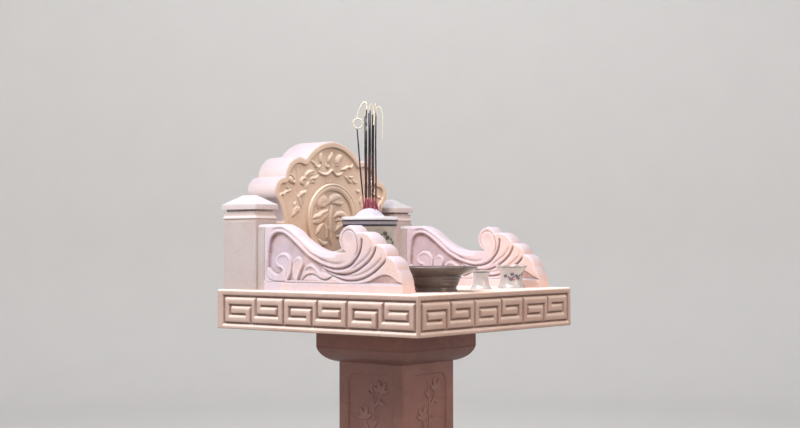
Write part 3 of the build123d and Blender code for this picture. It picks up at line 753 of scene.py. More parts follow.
# The back panel. Places are (x, height above the table) on its front

panel_half = 225.0
fan_foot = 184.0
shoulder_height = 165.0
fan_points = [(fan_foot, shoulder_height), (211.0, 222.0), (179.0, 274.0), (104.0, 322.0), (0.0, 370.0)]
fan_bulges = [-4.8, 17.7, 22.6, 12.2]
border_width = 17.0
field_depth = 6.0
panel_base = 19.0
ring_outside = 97.0
ring_inside = 77.0
front_round = 5.0
rear_round = 4.0
rim_kept = 7.0
edge_strip = 3.2
panel_net = 1.55
relief_fullness = 1.45
relief_rise = 1.3


def fan_line():
    """The scalloped edge, from the right-hand foot over the crown to the left-hand foot."""
    right = [np.array([(fan_foot, 0.0)])]
    for start, end, bulge in zip(fan_points, fan_points[1:], fan_bulges):
        right.append(arc(start, end, bulge, 18))
    right = np.vstack(right)
    return np.vstack([right, right[::-1] * (-1, 1)])


def panel_outline():
    """The fan with its shoulders."""
    line = fan_line()
    fan = line[line[:, 1] >= shoulder_height]
    right = [(panel_half, 0.0), (panel_half, shoulder_height)]
    left = [(-panel_half, shoulder_height), (-panel_half, 0.0)]
    return np.vstack([right, fan, left])


# Ridges of the relief: points, half widths, height
crest_ridges = [
    ([(-39, 341), (-44, 331), (-46, 320), (-41, 309)], [0.6, 3.6, 3.2, 1.0], 4.2),
    ([(-1, 345), (-5, 333), (-13, 323), (-17, 313)], [0.6, 3.4, 3.6, 1.0], 4.2),
    ([(-25, 312), (-23, 306), (-17, 304), (-13, 309)], [1.4, 3.0, 3.4, 1.2], 3.6),
    ([(39, 330), (31, 331), (22, 323), (13, 313)], [1.0, 6.5, 6.8, 2.0], 4.6),
    ([(28, 322), (22, 312), (12, 308)], [1.0, 3.2, 1.0], 4.0),
    ([(-82, 317), (-70, 312), (-62, 304), (-50, 301)], [0.8, 3.4, 3.2, 2.0], 4.0),
    ([(-59, 297), (-50, 303), (-44, 309)], [1.6, 3.2, 1.2], 3.6),
    ([(80, 316), (72, 306), (60, 307), (47, 301), (35, 299)], [0.8, 3.2, 2.6, 3.4, 1.4], 4.2),
    ([(-55, 292), (-42, 286), (-27, 284), (-19, 286), (-11, 291), (-2, 296), (5, 291), (13, 285),
      (25, 285), (42, 293)], [1.0, 3.0, 2.6, 3.0, 2.4, 3.0, 2.6, 3.0, 2.6, 0.8], 4.2),
    ([(-104, 275), (-96, 284), (-82, 290), (-68, 292)], [1.2, 3.6, 3.4, 1.0], 4.4),
    ([(-90, 277), (-82, 283), (-71, 285)], [0.8, 2.6, 0.8], 3.4),
    ([(-108, 255), (-116, 262), (-112, 271), (-98, 272)], [1.4, 3.8, 3.2, 1.6], 4.2),
    ([(-99, 248), (-93, 257), (-88, 264)], [1.0, 3.0, 1.2], 3.4),
    ([(-88, 266), (-78, 273), (-66, 274), (-52, 281)], [1.0, 3.2, 2.6, 1.2], 4.0),
    ([(-84, 262), (-76, 265), (-66, 262)], [1.0, 2.8, 1.0], 3.4),
    ([(48, 283), (58, 276), (66, 269), (75, 267)], [1.2, 3.2, 3.2, 1.0], 4.0),
    ([(60, 284), (70, 280), (82, 283)], [0.8, 3.0, 1.0], 3.6),
    ([(78, 276), (86, 268), (96, 268)], [0.8, 3.0, 1.4], 3.6),
    ([(92, 250), (100, 244), (108, 247)], [1.0, 3.2, 1.0], 3.6),
    ([(-124, 226), (-116, 234), (-107, 236), (-97, 242)], [1.2, 3.8, 3.2, 1.2], 4.0),
]
# Ridges that both sides have, drawn on the left
side_ridges = [
    ([(-135, 302), (-130, 286), (-127, 270), (-130, 255), (-129, 240)], [1.0, 2.0, 2.0, 1.8, 0.8], 1.7),
    ([(-119, 305), (-114, 288), (-117, 272)], [0.8, 2.0, 0.8], 1.6),
    ([(-156, 268), (-153, 266)], [5.6, 5.6], 4.6),
    ([(-148, 262), (-143, 261)], [3.2, 3.2], 4.2),
    ([(-163, 279), (-152, 280), (-143, 274), (-138, 265), (-141, 256)], [1.0, 2.0, 2.2, 2.0, 0.8], 2.6),
    ([(-195, 226), (-186, 232), (-180, 230), (-174, 236), (-163, 239), (-151, 243)],
     [1.4, 2.4, 2.0, 2.6, 2.2, 0.8], 3.4),
    ([(-168, 250), (-163, 245)], [1.2, 2.2], 3.0),
    ([(-127, 226), (-122, 217), (-118, 207), (-115, 198)], [3.4, 3.0, 2.6, 1.0], 2.6),
    ([(-112, 229), (-108, 220), (-111, 211)], [1.8, 2.4, 0.8], 2.4),
    ([(-145, 177), (-138, 187), (-130, 195), (-122, 200)], [1.2, 3.0, 3.2, 1.0], 3.8),
    ([(-150, 176), (-143, 186), (-137, 197), (-126, 199)], [1.0, 3.6, 3.6, 1.2], 4.0),
    ([(-141, 188), (-131, 190), (-120, 196)], [1.0, 3.0, 0.8], 3.6),
    ([(-139, 198), (-141, 207), (-136, 214)], [1.2, 2.6, 0.6], 3.2),
    ([(-160, 122), (-150, 132), (-146, 145), (-136, 152)], [1.0, 3.4, 3.2, 1.0], 3.8),
    ([(-151, 134), (-141, 134), (-131, 127)], [1.0, 3.0, 0.8], 3.6),
    ([(-166, 60), (-158, 74), (-146, 80), (-136, 74), (-138, 62)], [1.4, 3.4, 3.4, 3.0, 1.2], 4.0),
    ([(-150, 81), (-152, 92), (-146, 102)], [1.4, 3.0, 0.8], 3.6),
]
medallion_ridges = [
    ([(-70, 163), (-54, 167), (-38, 174), (-20, 182)], [3.0, 7.0, 7.0, 3.0], 3.4),
    ([(-48, 206), (-38, 211), (-22, 212)], [5.0, 8.0, 4.0], 3.6),
    ([(0, 214), (16, 219), (36, 220)], [3.0, 6.0, 3.0], 3.4),
    ([(-6, 134), (-9, 150), (-4, 166)], [3.0, 5.0, 1.6], 3.6),
    ([(16, 150), (30, 160), (44, 164)], [2.0, 6.0, 2.0], 3.2),
    ([(-53, 200), (-50, 213), (-38, 221), (-26, 219), (-22, 211)], [3.0, 8.0, 9.5, 7.0, 2.0], 4.6),
    ([(-48, 202), (-36, 206), (-24, 205)], [2.0, 5.0, 1.5], 4.0),
    ([(-14, 211), (-6, 221), (8, 227), (24, 229), (40, 226)], [2.0, 6.0, 7.0, 5.0, 1.2], 4.8),
    ([(2, 213), (16, 214), (32, 212), (42, 216)], [1.6, 4.6, 4.2, 1.0], 4.2),
    ([(-74, 172), (-62, 177), (-50, 179), (-40, 186), (-28, 190), (-16, 196)],
     [1.2, 4.6, 5.2, 4.6, 4.0, 1.0], 4.6),
    ([(-70, 163), (-58, 168), (-46, 170)], [0.8, 3.6, 1.0], 3.6),
    ([(-4, 204), (-7, 190), (-10, 176), (-10, 160), (-6, 142), (-8, 124), (-4, 108)],
     [2.2, 3.2, 3.0, 3.4, 3.6, 3.2, 2.0], 4.6),
    ([(-62, 132), (-54, 142), (-46, 152), (-38, 160)], [1.0, 4.6, 4.6, 1.4], 4.4),
    ([(-30, 158), (-24, 146), (-22, 132), (-24, 118)], [1.4, 4.0, 4.4, 1.2], 4.4),
    ([(10, 140), (22, 150), (34, 156), (44, 154)], [1.2, 4.4, 4.6, 1.2], 4.4),
    ([(6, 176), (20, 184), (36, 184), (52, 176), (62, 164)], [1.2, 5.0, 6.0, 5.0, 1.2], 4.6),
    ([(12, 166), (26, 170), (42, 164)], [1.0, 3.8, 1.0], 3.8),
    ([(14, 128), (28, 126), (42, 118), (50, 106)], [1.2, 4.4, 4.6, 1.0], 4.4),
    ([(-18, 112), (-32, 108), (-44, 112), (-56, 122)], [1.2, 4.2, 4.4, 1.2], 4.2),
]


def panel_carving(places):
    """How deep each place of the back panel's front is carved, and how much painted shade and dirt it gets.
    """
    x, z = places.T
    from_edge = away_from(places, panel_outline())
    from_fan = away_from(places, fan_line())
    in_fan = (np.abs(x) < fan_foot) | (z > shoulder_height)
    field = np.where(in_fan, np.minimum(from_fan - border_width, z - panel_base), -5)
    depth = field_depth * ease(field, -2.2, 1.6)
    from_middle = np.hypot(x, z - medallion_height)
    raised = np.zeros(len(places))
    ridge_shade = np.zeros(len(places))
    other_side = [([(-across, up) for across, up in line], widths, height)
                  for line, widths, height in side_ridges]
    for line, widths, height in crest_ridges + medallion_ridges + side_ridges + other_side:
        full = [width * relief_fullness for width in widths]
        wider = [width + 3.5 for width in full]
        raised = np.maximum(raised, bead(places, line, full, height * relief_rise))
        ridge_shade = np.maximum(ridge_shade, bead(places, line, wider, 1.0))
    depth = np.maximum(depth - raised * (field > 0), 0)
    rounding = hollowed(from_edge, front_round, front_round)

    # Painted shade with grime along the border, painted shade close by the ridges, and on both sides of the
    # ring
    hollows = ease(depth, 2, 6) * (0.05 + 0.7 * np.exp(-np.clip(field, 0, 60) / 6)) * (field > -1.5)
    hollows = np.maximum(hollows, 0.5 * ridge_shade * ease(depth, 3, 6))
    ring_edge_shade = np.exp(-np.abs(from_middle - ring_outside) / 4) * 0.6
    ring_inner_shade = np.exp(-np.clip(ring_inside - from_middle, 0, 60) / 5) * (from_middle < ring_inside + 1) * 0.6
    hollows = np.maximum(hollows, np.maximum(ring_edge_shade, ring_inner_shade) * ease(depth, 2, 6))
    return depth + rounding, hollows


def carved_panel():
    """The back panel: its carved front, its wall, and a plain rounded rear."""
    outline = panel_outline()
    bm = cut_net(outline, panel_net)
    depths, hollows = panel_carving(places_of(bm))
    carve(bm, depths, lambda x, z, depth: (x, panel_face + depth, table_top + z), hollows)
    border = border_of(bm)
    rear_verts = verts_of(doubled(bm)["geom"])
    rear_places = np.array([(vert.co.x, vert.co.z - table_top) for vert in rear_verts])
    rear_gap = away_from(rear_places, outline)
    layer = bm.verts.layers.float["hollow"]
    for vert, gap in zip(rear_verts, rear_gap):
        vert[layer] = 0
        vert.co.y = panel_rear - float(hollowed(gap, rear_round, rear_round))
    inner = [vert for vert, gap in zip(rear_verts, rear_gap) if gap > rim_kept]
    bmesh.ops.delete(bm, geom=inner, context="VERTS")
    for vert in verts_of(bmesh.ops.extrude_edge_only(bm, edges=border)["geom"]):
        vert.co.y = panel_rear - rear_round
        vert[layer] = 0
    bmesh.ops.remove_doubles(bm, verts=bm.verts, dist=seam_gap)
    close_holes(bm)
    return bm


def medallion_ring():
    """The ring: an outer bead, a fine groove, and a broad band that slopes inward."""
    profile = [
        (96.2, 0.5), (96.0, 5.5), (95.2, 7.3), (93.6, 8.0), (91.8, 7.7), (90.6, 6.9), (90.2, 6.3),
        (89.4, 6.3), (88.6, 6.9), (87.0, 7.4), (84.0, 7.0), (80.0, 5.6), (77.6, 4.2), (77.0, 3.0),
        (76.8, 0.5), (96.2, 0.5),
    ]
    bm = spun(profile, (0, 0), 144)
    for vert in bm.verts:
        x, y, rise = vert.co
        vert.co = (x, panel_face + field_depth + 0.3 - rise, table_top + medallion_height + y)
    return bm


# Table slab and its key border


key_length = 586.0
key_height = 64.0
key_foot = 12.5
key_pairs = 3
key_inset = 20.0
key_offset = 8.5
key_left_shift = 8.5
# Distances from a groove's centre line, and how deep the groove is there
key_wall = ([0.9, 4.0, 4.5, 5.1], [5.0, 1.0, 0.35, 0.0])
slab_round = 5.0
slab_foot_round = 1.5
slab_height = 94.0


def key_lines():
    """Straight centre lines of the key grooves of one side, from its lower left corner."""
    corners = [(0, 0), (key_length, 0), (key_length, key_height), (0, key_height), (0, 0)]
    lines = list(zip(corners, corners[1:]))
    pair = key_length / key_pairs
    low, high = key_height / 3, 2 * key_height / 3
    for number in range(key_pairs):
        left = number * pair
        right = left + pair
        middle = left + pair / 2
        if number:
            lines.append(((left, 0), (left, key_height)))
        rising = [(middle - key_offset, 0), (middle - key_offset, high), (left + key_inset, high),
                  (left + key_inset, low), (middle - key_offset - key_inset, low)]
        falling = [(middle + key_offset, key_height), (middle + key_offset, low), (right - key_inset, low),
                   (right - key_inset, high), (middle + key_offset + key_inset, high)]
        for hook in (rising, falling):
            lines += zip(hook, hook[1:])
    return [np.array(line, float) for line in lines]


def key_depths(places, lines):
    """How deep the key grooves are at each place, with square ends and sloping walls."""
    distance = np.full(len(places), np.inf)
    for line in lines:
        low, high = line.min(0), line.max(0)
        away = np.maximum(np.maximum(low - places, places - high), 0)
        distance = np.minimum(distance, away.max(axis=1))
    return np.interp(distance, *key_wall)


def key_border_side(shift):
    """One side of the slab as a net whose lines follow the walls of the key grooves."""
    lines = key_lines()
    steps = [side * step for step in key_wall[0] for side in (-1, 1)]
    ends = [end for line in lines for end in line]
    upright = sorted({round(end[0] + step, 1) for end in ends for step in steps})
    level = sorted({round(end[1] + step, 1) for end in ends for step in steps})
    core_half = table_half - slab_round
    columns = [value - key_length / 2 + shift for value in upright]
    turns = [radians(15 * step) for step in range(4)]
    across = [(-core_half, -turn) for turn in reversed(turns)]
    across += [(value, 0.0) for value in columns if abs(value) < core_half - 0.3]
    across += [(core_half, turn) for turn in turns]
    upward = [(slab_foot_round, radians(-90)), (slab_foot_round, radians(-45)), (slab_foot_round, 0.0)]
    upward += [(value + key_foot, 0.0) for value in level]
    upward += [(slab_height - slab_round, radians(18 * step)) for step in range(6)]
    bm = bmesh.new()
    bmesh.ops.create_grid(bm, x_segments=len(across) - 1, y_segments=len(upward) - 1, size=0.5)
    layer = bm.verts.layers.float.new("hollow")
    spots = []
    for vert in bm.verts:
        column = round((vert.co.x + 0.5) * (len(across) - 1))
        row = round((vert.co.y + 0.5) * (len(upward) - 1))
        spots.append((across[column], upward[row]))
    places = np.array([(spot[0][0] + key_length / 2 - shift, spot[1][0] - key_foot) for spot in spots])
    depths = key_depths(places, lines)
    for vert, ((x, turn), (z, lift)), depth in zip(bm.verts, spots, depths):
        flat = turn == 0 and lift == 0
        sunk = float(depth) if flat else 0.0
        if lift < 0:
            reach = slab_round - slab_foot_round * (1 - cos(lift))
            rise = slab_foot_round * sin(lift)
        else:
            reach = slab_round * cos(lift)
            rise = slab_round * sin(lift)
        side = Vector((sin(turn), -cos(turn), 0))
        core = Vector((x, -core_half, table_bottom + z))
        vert.co = core + side * (reach - sunk) + UP * rise
        # The grooves' floors get painted shade with grime, as a share of their depth.
        vert[layer] = 0.75 * sunk / key_wall[1][0]
    return bm


def joined(meshes):
    """One mesh of several, which are used up."""
    whole = meshes[0]
    for other in meshes[1:]:
        mesh = bpy.data.meshes.new("part")
        other.to_mesh(mesh)
        other.free()
        whole.from_mesh(mesh)
        bpy.data.meshes.remove(mesh)
    return whole


def carved_slab():
    sides = []
    for turn, shift in enumerate((0, 0, 0, key_left_shift)):
        side = key_border_side(shift)
        laid(side, side.verts, turn * pi / 2, (0, 0))
        sides.append(side)
    bm = joined(sides)
    bmesh.ops.remove_doubles(bm, verts=bm.verts, dist=seam_gap)
    close_holes(bm)
    return bm


# Square mouldings, posts and column

column_corner = 3.0
panel_margin = 25.0
panel_steps = (-1.0, -3.0)
panel_slope = 1.2
# The column's sides and sunk fields are its only faces as large as this
large_area = 50000.0
stem_face = 96.3
stem_rise = 818.0
stem_sway = 7.5
stem_branches = 12
stem_radii = [8.0, 7.6, 7.0, 5.8, 3.2]
branch_radii = [4.6, 4.2, 3.0]
# The leaves at a branch's end: the turn and the share of the full size
leaf_fan = ((-70, 0.8), (-22, 1.0), (24, 1.0), (66, 0.8))
cap_overhang = 2.0


def softened(profile, size):
    """The profile (inset, height) with each of its corners cut by a small step."""
    points = [Vector(point) for point in profile]
    soft = [points[0]]
    for before, corner, after in zip(points, points[1:], points[2:]):
        for other in (before, after):
            way = other - corner
            soft.append(corner + way.normalized() * min(size, way.length * 0.4))
    return [tuple(point) for point in soft + points[-1:]]


def tiered_block(middle, half, profile, corner, shade_and_dirt_inset=None):
    """A block with softly rounded upright edges whose sides follow the profile (inset, height).

    With a shade and dirt inset, the sides get painted shade and dirt as they lie back, wholly so at that
    inset.
    """
    bm = bmesh.new()
    bmesh.ops.create_grid(bm, x_segments=1, y_segments=1, size=1)
    bmesh.ops.scale(bm, verts=bm.verts, vec=(*half, 1))
    bevelled(bm, list(bm.verts), corner, "VERTICES")
    face = list(bm.faces)[0]
    inset_now = 0
    for number, (inset, height) in enumerate(profile):
        if number:
            face = bmesh.ops.extrude_discrete_faces(bm, faces=[face])["faces"][0]
        for vert in face.verts:
            vert.co.x += (1 if vert.co.x > 0 else -1) * (inset_now - inset)
            vert.co.y += (1 if vert.co.y > 0 else -1) * (inset_now - inset)
            vert.co.z = height
        inset_now = inset
    close_holes(bm)
    if shade_and_dirt_inset:
        layer = bm.verts.layers.float.new("hollow")
        for vert in bm.verts:
            inset = min(half[0] - abs(vert.co.x), half[1] - abs(vert.co.y))
            vert[layer] = min(1, inset / shade_and_dirt_inset)
    bmesh.ops.translate(bm, verts=bm.verts, vec=(middle[0], middle[1], 0))
    return bm


def bevelled(bm, geometry, offset, affect, segments=3):
    """Round some corners or edges of a mesh."""
    bmesh.ops.bevel(bm, geom=geometry, offset=offset, offset_type="OFFSET", segments=segments,
                    profile=0.5, affect=affect, material=-1)


def rounded_run(start, end, bulge):
    """Profile points on an arc from start to end."""
    return [tuple(point) for point in arc(start, end, bulge, 6)]


def on_table(profile):
    """The profile with its heights above the table counted from the ground."""
    return [(out, table_top + height) for out, height in profile]


def build_pedestal():
    """Two steps, the foot moulding, and the same moulding turned over as the column's head."""
    plinth = softened([(0, 0), (0, 65), (5, plinth_top), (60, plinth_top)], 1.5)
    step = softened([(0, plinth_top), (0, 96), (14, step_top), (60, step_top)], 1.2)
    swell = rounded_run((0, 49), (moulding_reach, moulding_rise), -8.2)
    base = softened([(0, 0), (0, 47.4), (0.8, 48.8)], 0.8) + swell
    lower = [(inset, height + step_top) for inset, height in base]
    upper = [(inset, table_bottom - height) for inset, height in reversed(base)]
    moulding_half = column_half + moulding_reach
    # The column's head takes the darker stone, as painted shade.
    for name, node_name, half, profile, corner, finish in (
            ("foot_slab", "plinth_slab", plinth_half, plinth, 4, column_stone),
            ("foot_step", "plinth_step", step_half, step, 3, column_stone),
            ("foot_moulding", "column_base", moulding_half, lower, 3, column_stone),
            ("column_head", "capital", moulding_half, upper, 3, shaded_head_stone)):
        finish_piece(name, tiered_block((0, 0), (half, half), profile, corner), finish, [node_name])


def column_body():
    """The column with a sunk panel, its corners cut, on each side."""
    bm = bmesh.new()
    bmesh.ops.create_cube(bm, size=1)
    bmesh.ops.scale(bm, verts=bm.verts, vec=(2 * column_half, 2 * column_half, column_top - column_foot))
    bmesh.ops.translate(bm, verts=bm.verts, vec=(0, 0, (column_foot + column_top) / 2))
    upright = [edge for edge in bm.edges if abs((edge.verts[0].co - edge.verts[1].co).z) > 1]
    bevelled(bm, upright, column_corner, "EDGES")
    sides = [face for face in bm.faces if abs(face.normal.z) < 0.1 and face.calc_area() > large_area]
    for side in sides:
        bmesh.ops.inset_individual(bm, faces=[side], thickness=panel_margin, use_even_offset=True)
        bevelled(bm, list(side.verts), panel_margin, "VERTICES", 4)
    fields = [face for face in bm.faces if len(face.verts) > 12 and face.calc_area() > large_area]
    for depth in panel_steps:
        bmesh.ops.inset_individual(bm, faces=fields, thickness=panel_slope, depth=depth,
                                   use_even_offset=True)
    return bm


def seed_leaf(bm, place, length, width, turn, height):
    """A plump pointed leaf lying on the XY plane, its stalk at the place, turned from +Y."""
    made = bmesh.ops.create_uvsphere(bm, u_segments=12, v_segments=8, radius=1)
    for vert in made["verts"]:
        across, deep, along = vert.co
        pinch = (1 - abs(along) ** 2.2) ** 0.5 if abs(along) < 1 else 0
        full = (1 - along ** 2) ** 0.5
        share = across / full if full > 1e-6 else 0
        shape = share * pinch * (1 - 0.25 * along)
        vein = 1 - 0.35 * max(0, 1 - abs(share) * 3.5) * (1 if deep > 0 else 0)
        vert.co = (shape * width / 2, (along + 1) * length / 2, deep * height * vein)
    laid(bm, made["verts"], turn, place)


def rod(bm, points, radii, sides=8, flat=1.0):
    """A closed round bar through the points, flattened in z, its radius running through those given."""
    points = [Vector(point) for point in points]
    shares = np.linspace(0, 1, len(radii))
    ring = None
    for number, point in enumerate(points):
        ahead = points[min(number + 1, len(points) - 1)] - points[max(number - 1, 0)]
        radius = float(np.interp(number / (len(points) - 1), shares, radii))
        turn = ahead.to_track_quat("Z", "Y").to_matrix()
        angles = [2 * pi * k / sides for k in range(sides)]
        corners = [point + turn @ Vector((radius * cos(angle), radius * sin(angle), 0))
                   for angle in angles]
        if flat != 1.0:
            for corner in corners:
                corner.z = point.z + (corner.z - point.z) * flat
        if ring is None:
            verts = [bm.verts.new(corner) for corner in corners]
            ring = bm.faces.new(verts)
        else:
            ring = bmesh.ops.extrude_discrete_faces(bm, faces=[ring])["faces"][0]
            for vert, corner in zip(ring.verts, corners):
                vert.co = corner
    close_holes(bm)


def stem_point(share):
    """The stem's middle, by the share of its height."""
    return Vector((stem_sway * sin(2 * pi * share * 2.5), (share - 0.5) * stem_rise, 0))


def column_stem(turn):
    """A branching stem with plump leaves, for the sunk panel of one side of the column."""
    bm = bmesh.new()
    rod(bm, [stem_point(step / 48) for step in range(49)], stem_radii, 14, 0.48)
    for number in range(stem_branches):
        side = 1 if number % 2 else -1
        foot = stem_point((number + 0.6) / (stem_branches + 0.6))
        elbow = foot + Vector((side * 15, 15, 0))
        tip = foot + Vector((side * 25, 40, 0))
        bow = soft_line([foot[:2], elbow[:2], tip[:2]], 5)
        rod(bm, [(x, y, 0) for x, y in bow], branch_radii, 10, 0.7)
        cluster = tip - Vector((side * 2, 3, 0))
        for angle, size in leaf_fan:
            seed_leaf(bm, cluster, 31 * size, 15 * size, radians(angle - side * 10), 4.0)
        seed_leaf(bm, elbow, 23, 12, radians(side * -108), 3.8)
        seed_leaf(bm, foot + Vector((0, 18, 0)), 27, 12, radians(side * 38), 3.8)
    middle = Matrix.Translation((0, -stem_face, (column_foot + column_top) / 2))
    face = Matrix.Rotation(turn, 4, "Z") @ middle @ Matrix.Rotation(pi / 2, 4, "X")
    bmesh.ops.transform(bm, matrix=face, verts=bm.verts)
    return bm


def build_column():
    finish_piece("column", column_body(), column_stone, ["column_shaft"])
    for name, turn in (("front", 0), ("right", pi / 2), ("rear", pi), ("left", -pi / 2)):
        # The stems' lighter stone is a painted highlight.
        finish_piece("column_stem_" + name, column_stem(turn), highlighted_stem_stone,
                     ["column_relief_" + name], crease=60)


def build_posts():
    """Corner posts, their necks and capped tops."""
    neck = [(3, 162), (3, 169.5), (0, 169.5), (0, 174), (1.5, 174)]
    neck += rounded_run((1.5, 174), (1.5, 186.5), 1.5)[1:]
    neck += [(7, 186.5), (7, 192)]
    cap = [(0, 192), (0, 203), (1, 205.2), (3, 206), (5, 206.6)]
    cap += [(5 + 31.5 * share, 206.6 + 20.4 * share) for share in (0.33, 0.66, 1.0)]
    for side, sign in (("left", -1), ("right", 1)):
        middle = (sign * post_place[0], post_place[1])
        shaft = tiered_block(middle, post_half, on_table([(0, 0), (0, 162)]), 4.5)
        finish_piece("post_" + side, shaft, post_stone, ["post_shaft_" + side])
        # The neck's recesses get painted shade and dirt, and its lighter stone is a painted highlight on
        # its rolls.
        throat = tiered_block(middle, post_half, on_table(softened(neck, 0.7)), 3.5, 7)
        finish_piece("post_throat_" + side, throat, highlighted_neck_stone, ["post_neck_" + side])
        wider = [half + cap_overhang for half in post_half]
        top = tiered_block(middle, wider, on_table(softened(cap, 0.8)), 2.5)
        finish_piece("post_top_" + side, top, cap_stone, ["post_cap_" + side])


def build_carved_stone():
    finish_piece("key_table", carved_slab(), slab_stone, ["table_slab"], crease=50)
    wing = carved_wing()
    for side, mesh in (("left", wing), ("right", mirrored(wing))):
        piece = finish_piece("carved_wing_" + side, mesh, wing_stone, ["wing_" + side], crease=60)
        piece.data.materials.append(post_stone)
        # The rear strip takes the darker post stone as painted shade in the corner by the post.
        for face in piece.data.polygons:
            face.material_index = int(face.center.y > wing_strip * METRES)
    nodes = ["back_panel", "back_panel_border", "crest_relief", "cloud_relief", "side_relief",
             "medallion_relief"]
    piece = finish_piece("carved_back_panel", carved_panel(), panel_stone, nodes, crease=60)
    piece.data.materials.append(shaded_rim_stone)
    middles = np.array([(face.center.x, face.center.z) for face in piece.data.polygons]) / METRES
    from_edge = away_from(middles - (0, table_top), panel_outline())
    # The rim's rounding and the rear take the stone with painted shade.
    for face, gap in zip(piece.data.polygons, from_edge):
        face.material_index = int(gap < edge_strip or face.normal.y > 0)
    finish_piece("medallion_edge", medallion_ring(), panel_stone, ["medallion_ring"], crease=60)


# Things on the table


def curve_profile(points, step=2.0):
    return [tuple(point) for point in soft_line(points, step)]


burner_wall = [(50, 10), (43, 19), (58, 47), (66.8, 84), (61.5, 133), (66, 151.5)]
# The rim's glazes from below, each with the height that it starts above
burner_bands = ((151.6, line_glaze), (156.5, band_glaze), (164.1, line_glaze), (168.1, rim_glaze))


def build_burner():
    """The pot: a painted body, and a rim in bands of dark line, lilac grey and white."""
    body = [(0.01, 0), (50, 0), (50, 8)] + curve_profile(burner_wall, 5)
    body += [(67.1, 152.4), (67.6, 154.5), (68.0, 157), (67.8, 158.4), (68.6, 159.4), (69.2, 162),
             (69.6, 164), (70.4, 166), (70.9, 168), (71.6, 170.5), (71.9, 173.5), (71.3, 175.3),
             (69.6, 176), (64.4, 176), (63.1, 175.2), (63, 173), (63, 154), (0.01, 154)]
    piece = finish_piece("incense_pot", spun(on_table(body), burner_place, 112), burner_glaze,
                         ["incense_burner"])
    for glaze in (line_glaze, band_glaze, rim_glaze):
        piece.data.materials.append(glaze)
    slots = list(piece.data.materials)
    for face in piece.data.polygons:
        x, y, z = face.center / METRES
        if np.hypot(x - burner_place[0], y - burner_place[1]) > 62:
            for start, glaze in burner_bands:
                if z - table_top > start:
                    face.material_index = slots.index(glaze)


def laid_round(bm, place, wall, turn, level, proud=0.25):
    """Lay flat shapes (across, up) on a turned wall (radius, height), round to the turn, at the level."""
    heights = [height for radius, height in wall]
    radii = [radius for radius, height in wall]
    for vert in bm.verts:
        height = level + vert.co.y
        radius = float(np.interp(height, heights, radii))
        angle = turn + vert.co.x / radius
        out = radius + proud
        vert.co = (place[0] + out * cos(angle), place[1] + out * sin(angle), table_top + height)


def petal(bm, place, length, width, turn):
    """A flat painted petal or leaf from its foot at the place, turned from straight up."""
    made = bmesh.ops.create_circle(bm, cap_ends=True, cap_tris=True, segments=12, radius=1)
    for vert in made["verts"]:
        across, up, _ = vert.co
        vert.co = (across * width / 2 * (1 - 0.3 * up), (up + 1) * length / 2, 0)
    laid(bm, made["verts"], turn, place)


def brush_line(bm, points, width):
    """A flat painted line."""
    line = soft_line(points, 2)
    for start, end in zip(line, line[1:]):
        way = end - start
        length = float(np.hypot(*way))
        petal(bm, start - way * 0.25, length * 1.5, width, float(np.arctan2(-way[0], way[1])))


def sprig(bm, side, size=1.0):
    """A painted spray: a bowed stem with leaves and an open blossom at its end."""
    stem = [(0, -13), (side * 3, -5), (side * 9, 2), (side * 18, 4)]
    brush_line(bm, [(x * size, y * size) for x, y in stem], 1.2 * size)
    for x, y, angle in ((1, -10, 50), (3, -6, -65), (6, -2, 25), (11, 2, -100), (14, 3, 15)):
        petal(bm, (side * x * size, y * size), 8.5 * size, 3.4 * size, radians(-side * angle))
    for number in range(5):
        turn = 2 * pi * number / 5
        petal(bm, (side * 20 * size, 5 * size), 6.2 * size, 4.2 * size, turn)


def build_painting():
    """Painted sprays round the pot and the larger cup."""
    wall = curve_profile(burner_wall, 5)
    sprays = []
    for number in range(8):
        bm = bmesh.new()
        sprig(bm, 1 if number % 2 else -1, 1.1)
        laid_round(bm, burner_place, wall, 2 * pi * (number + 0.3) / 8, 128 if number % 2 else 118)
        sprays.append(bm)
    finish_piece("pot_sprays", joined(sprays), brown_paint, [])
    wall = cup_wall(*large_cup_sizes)
    blossoms = ("cup_blossoms", petal_paint, ((-9, -1, 0.75), (9, 3, 0.8)))
    buds = ("cup_buds", bud_paint, ((-2, -4, 0.4),))
    for name, paint, forms in (blossoms, buds):
        sprays = []
        for turn in (-2.25, 0.9):
            for across, up, size in forms:
                bm = bmesh.new()
                for side in (-1, 1):
                    sprig(bm, side, size)
                bmesh.ops.translate(bm, verts=bm.verts, vec=(across, up, 0))
                laid_round(bm, large_cup_place, wall, turn, 27)
                sprays.append(bm)
        finish_piece(name, joined(sprays), paint, [])


def build_ash():
    x, y = burner_place
    inside = 61
    heap = curve_profile([(62.6, 166), (50, 171), (36, 179), (24, 190), (12, 196.5), (0.01, 197.8)], 2)
    bm = spun(on_table([(0.01, 154.2), (62.6, 154.2)] + heap), burner_place, 120)
    for vert in bm.verts:
        level = vert.co.z - table_top
        away = Vector((vert.co.x - x, vert.co.y - y)).length
        if level > 160 and away < inside:
            rough = noise.fractal(vert.co / 7.0, 0.6, 2.1, 4) * 1.4
            soft = noise.noise(vert.co / 24.0) * 2.0
            rise = (rough + soft) * min(1, (inside - away) / 8)
            vert.co.z = min(vert.co.z + rise, table_top + 198)
    finish_piece("ash_heap", bm, ash_stuff, ["ash_mound"], 70)


# Level directions across the camera's view and away from it
in_view = Vector((0.628, -0.778))
beyond = Vector((0.778, 0.628))


def in_the_pot(across, away, up):
    """A place by its distance across and beyond the pot's axis as seen from the front left corner."""
    spot = Vector(burner_place) + in_view * across + beyond * away
    return Vector((spot.x, spot.y, table_top + up))


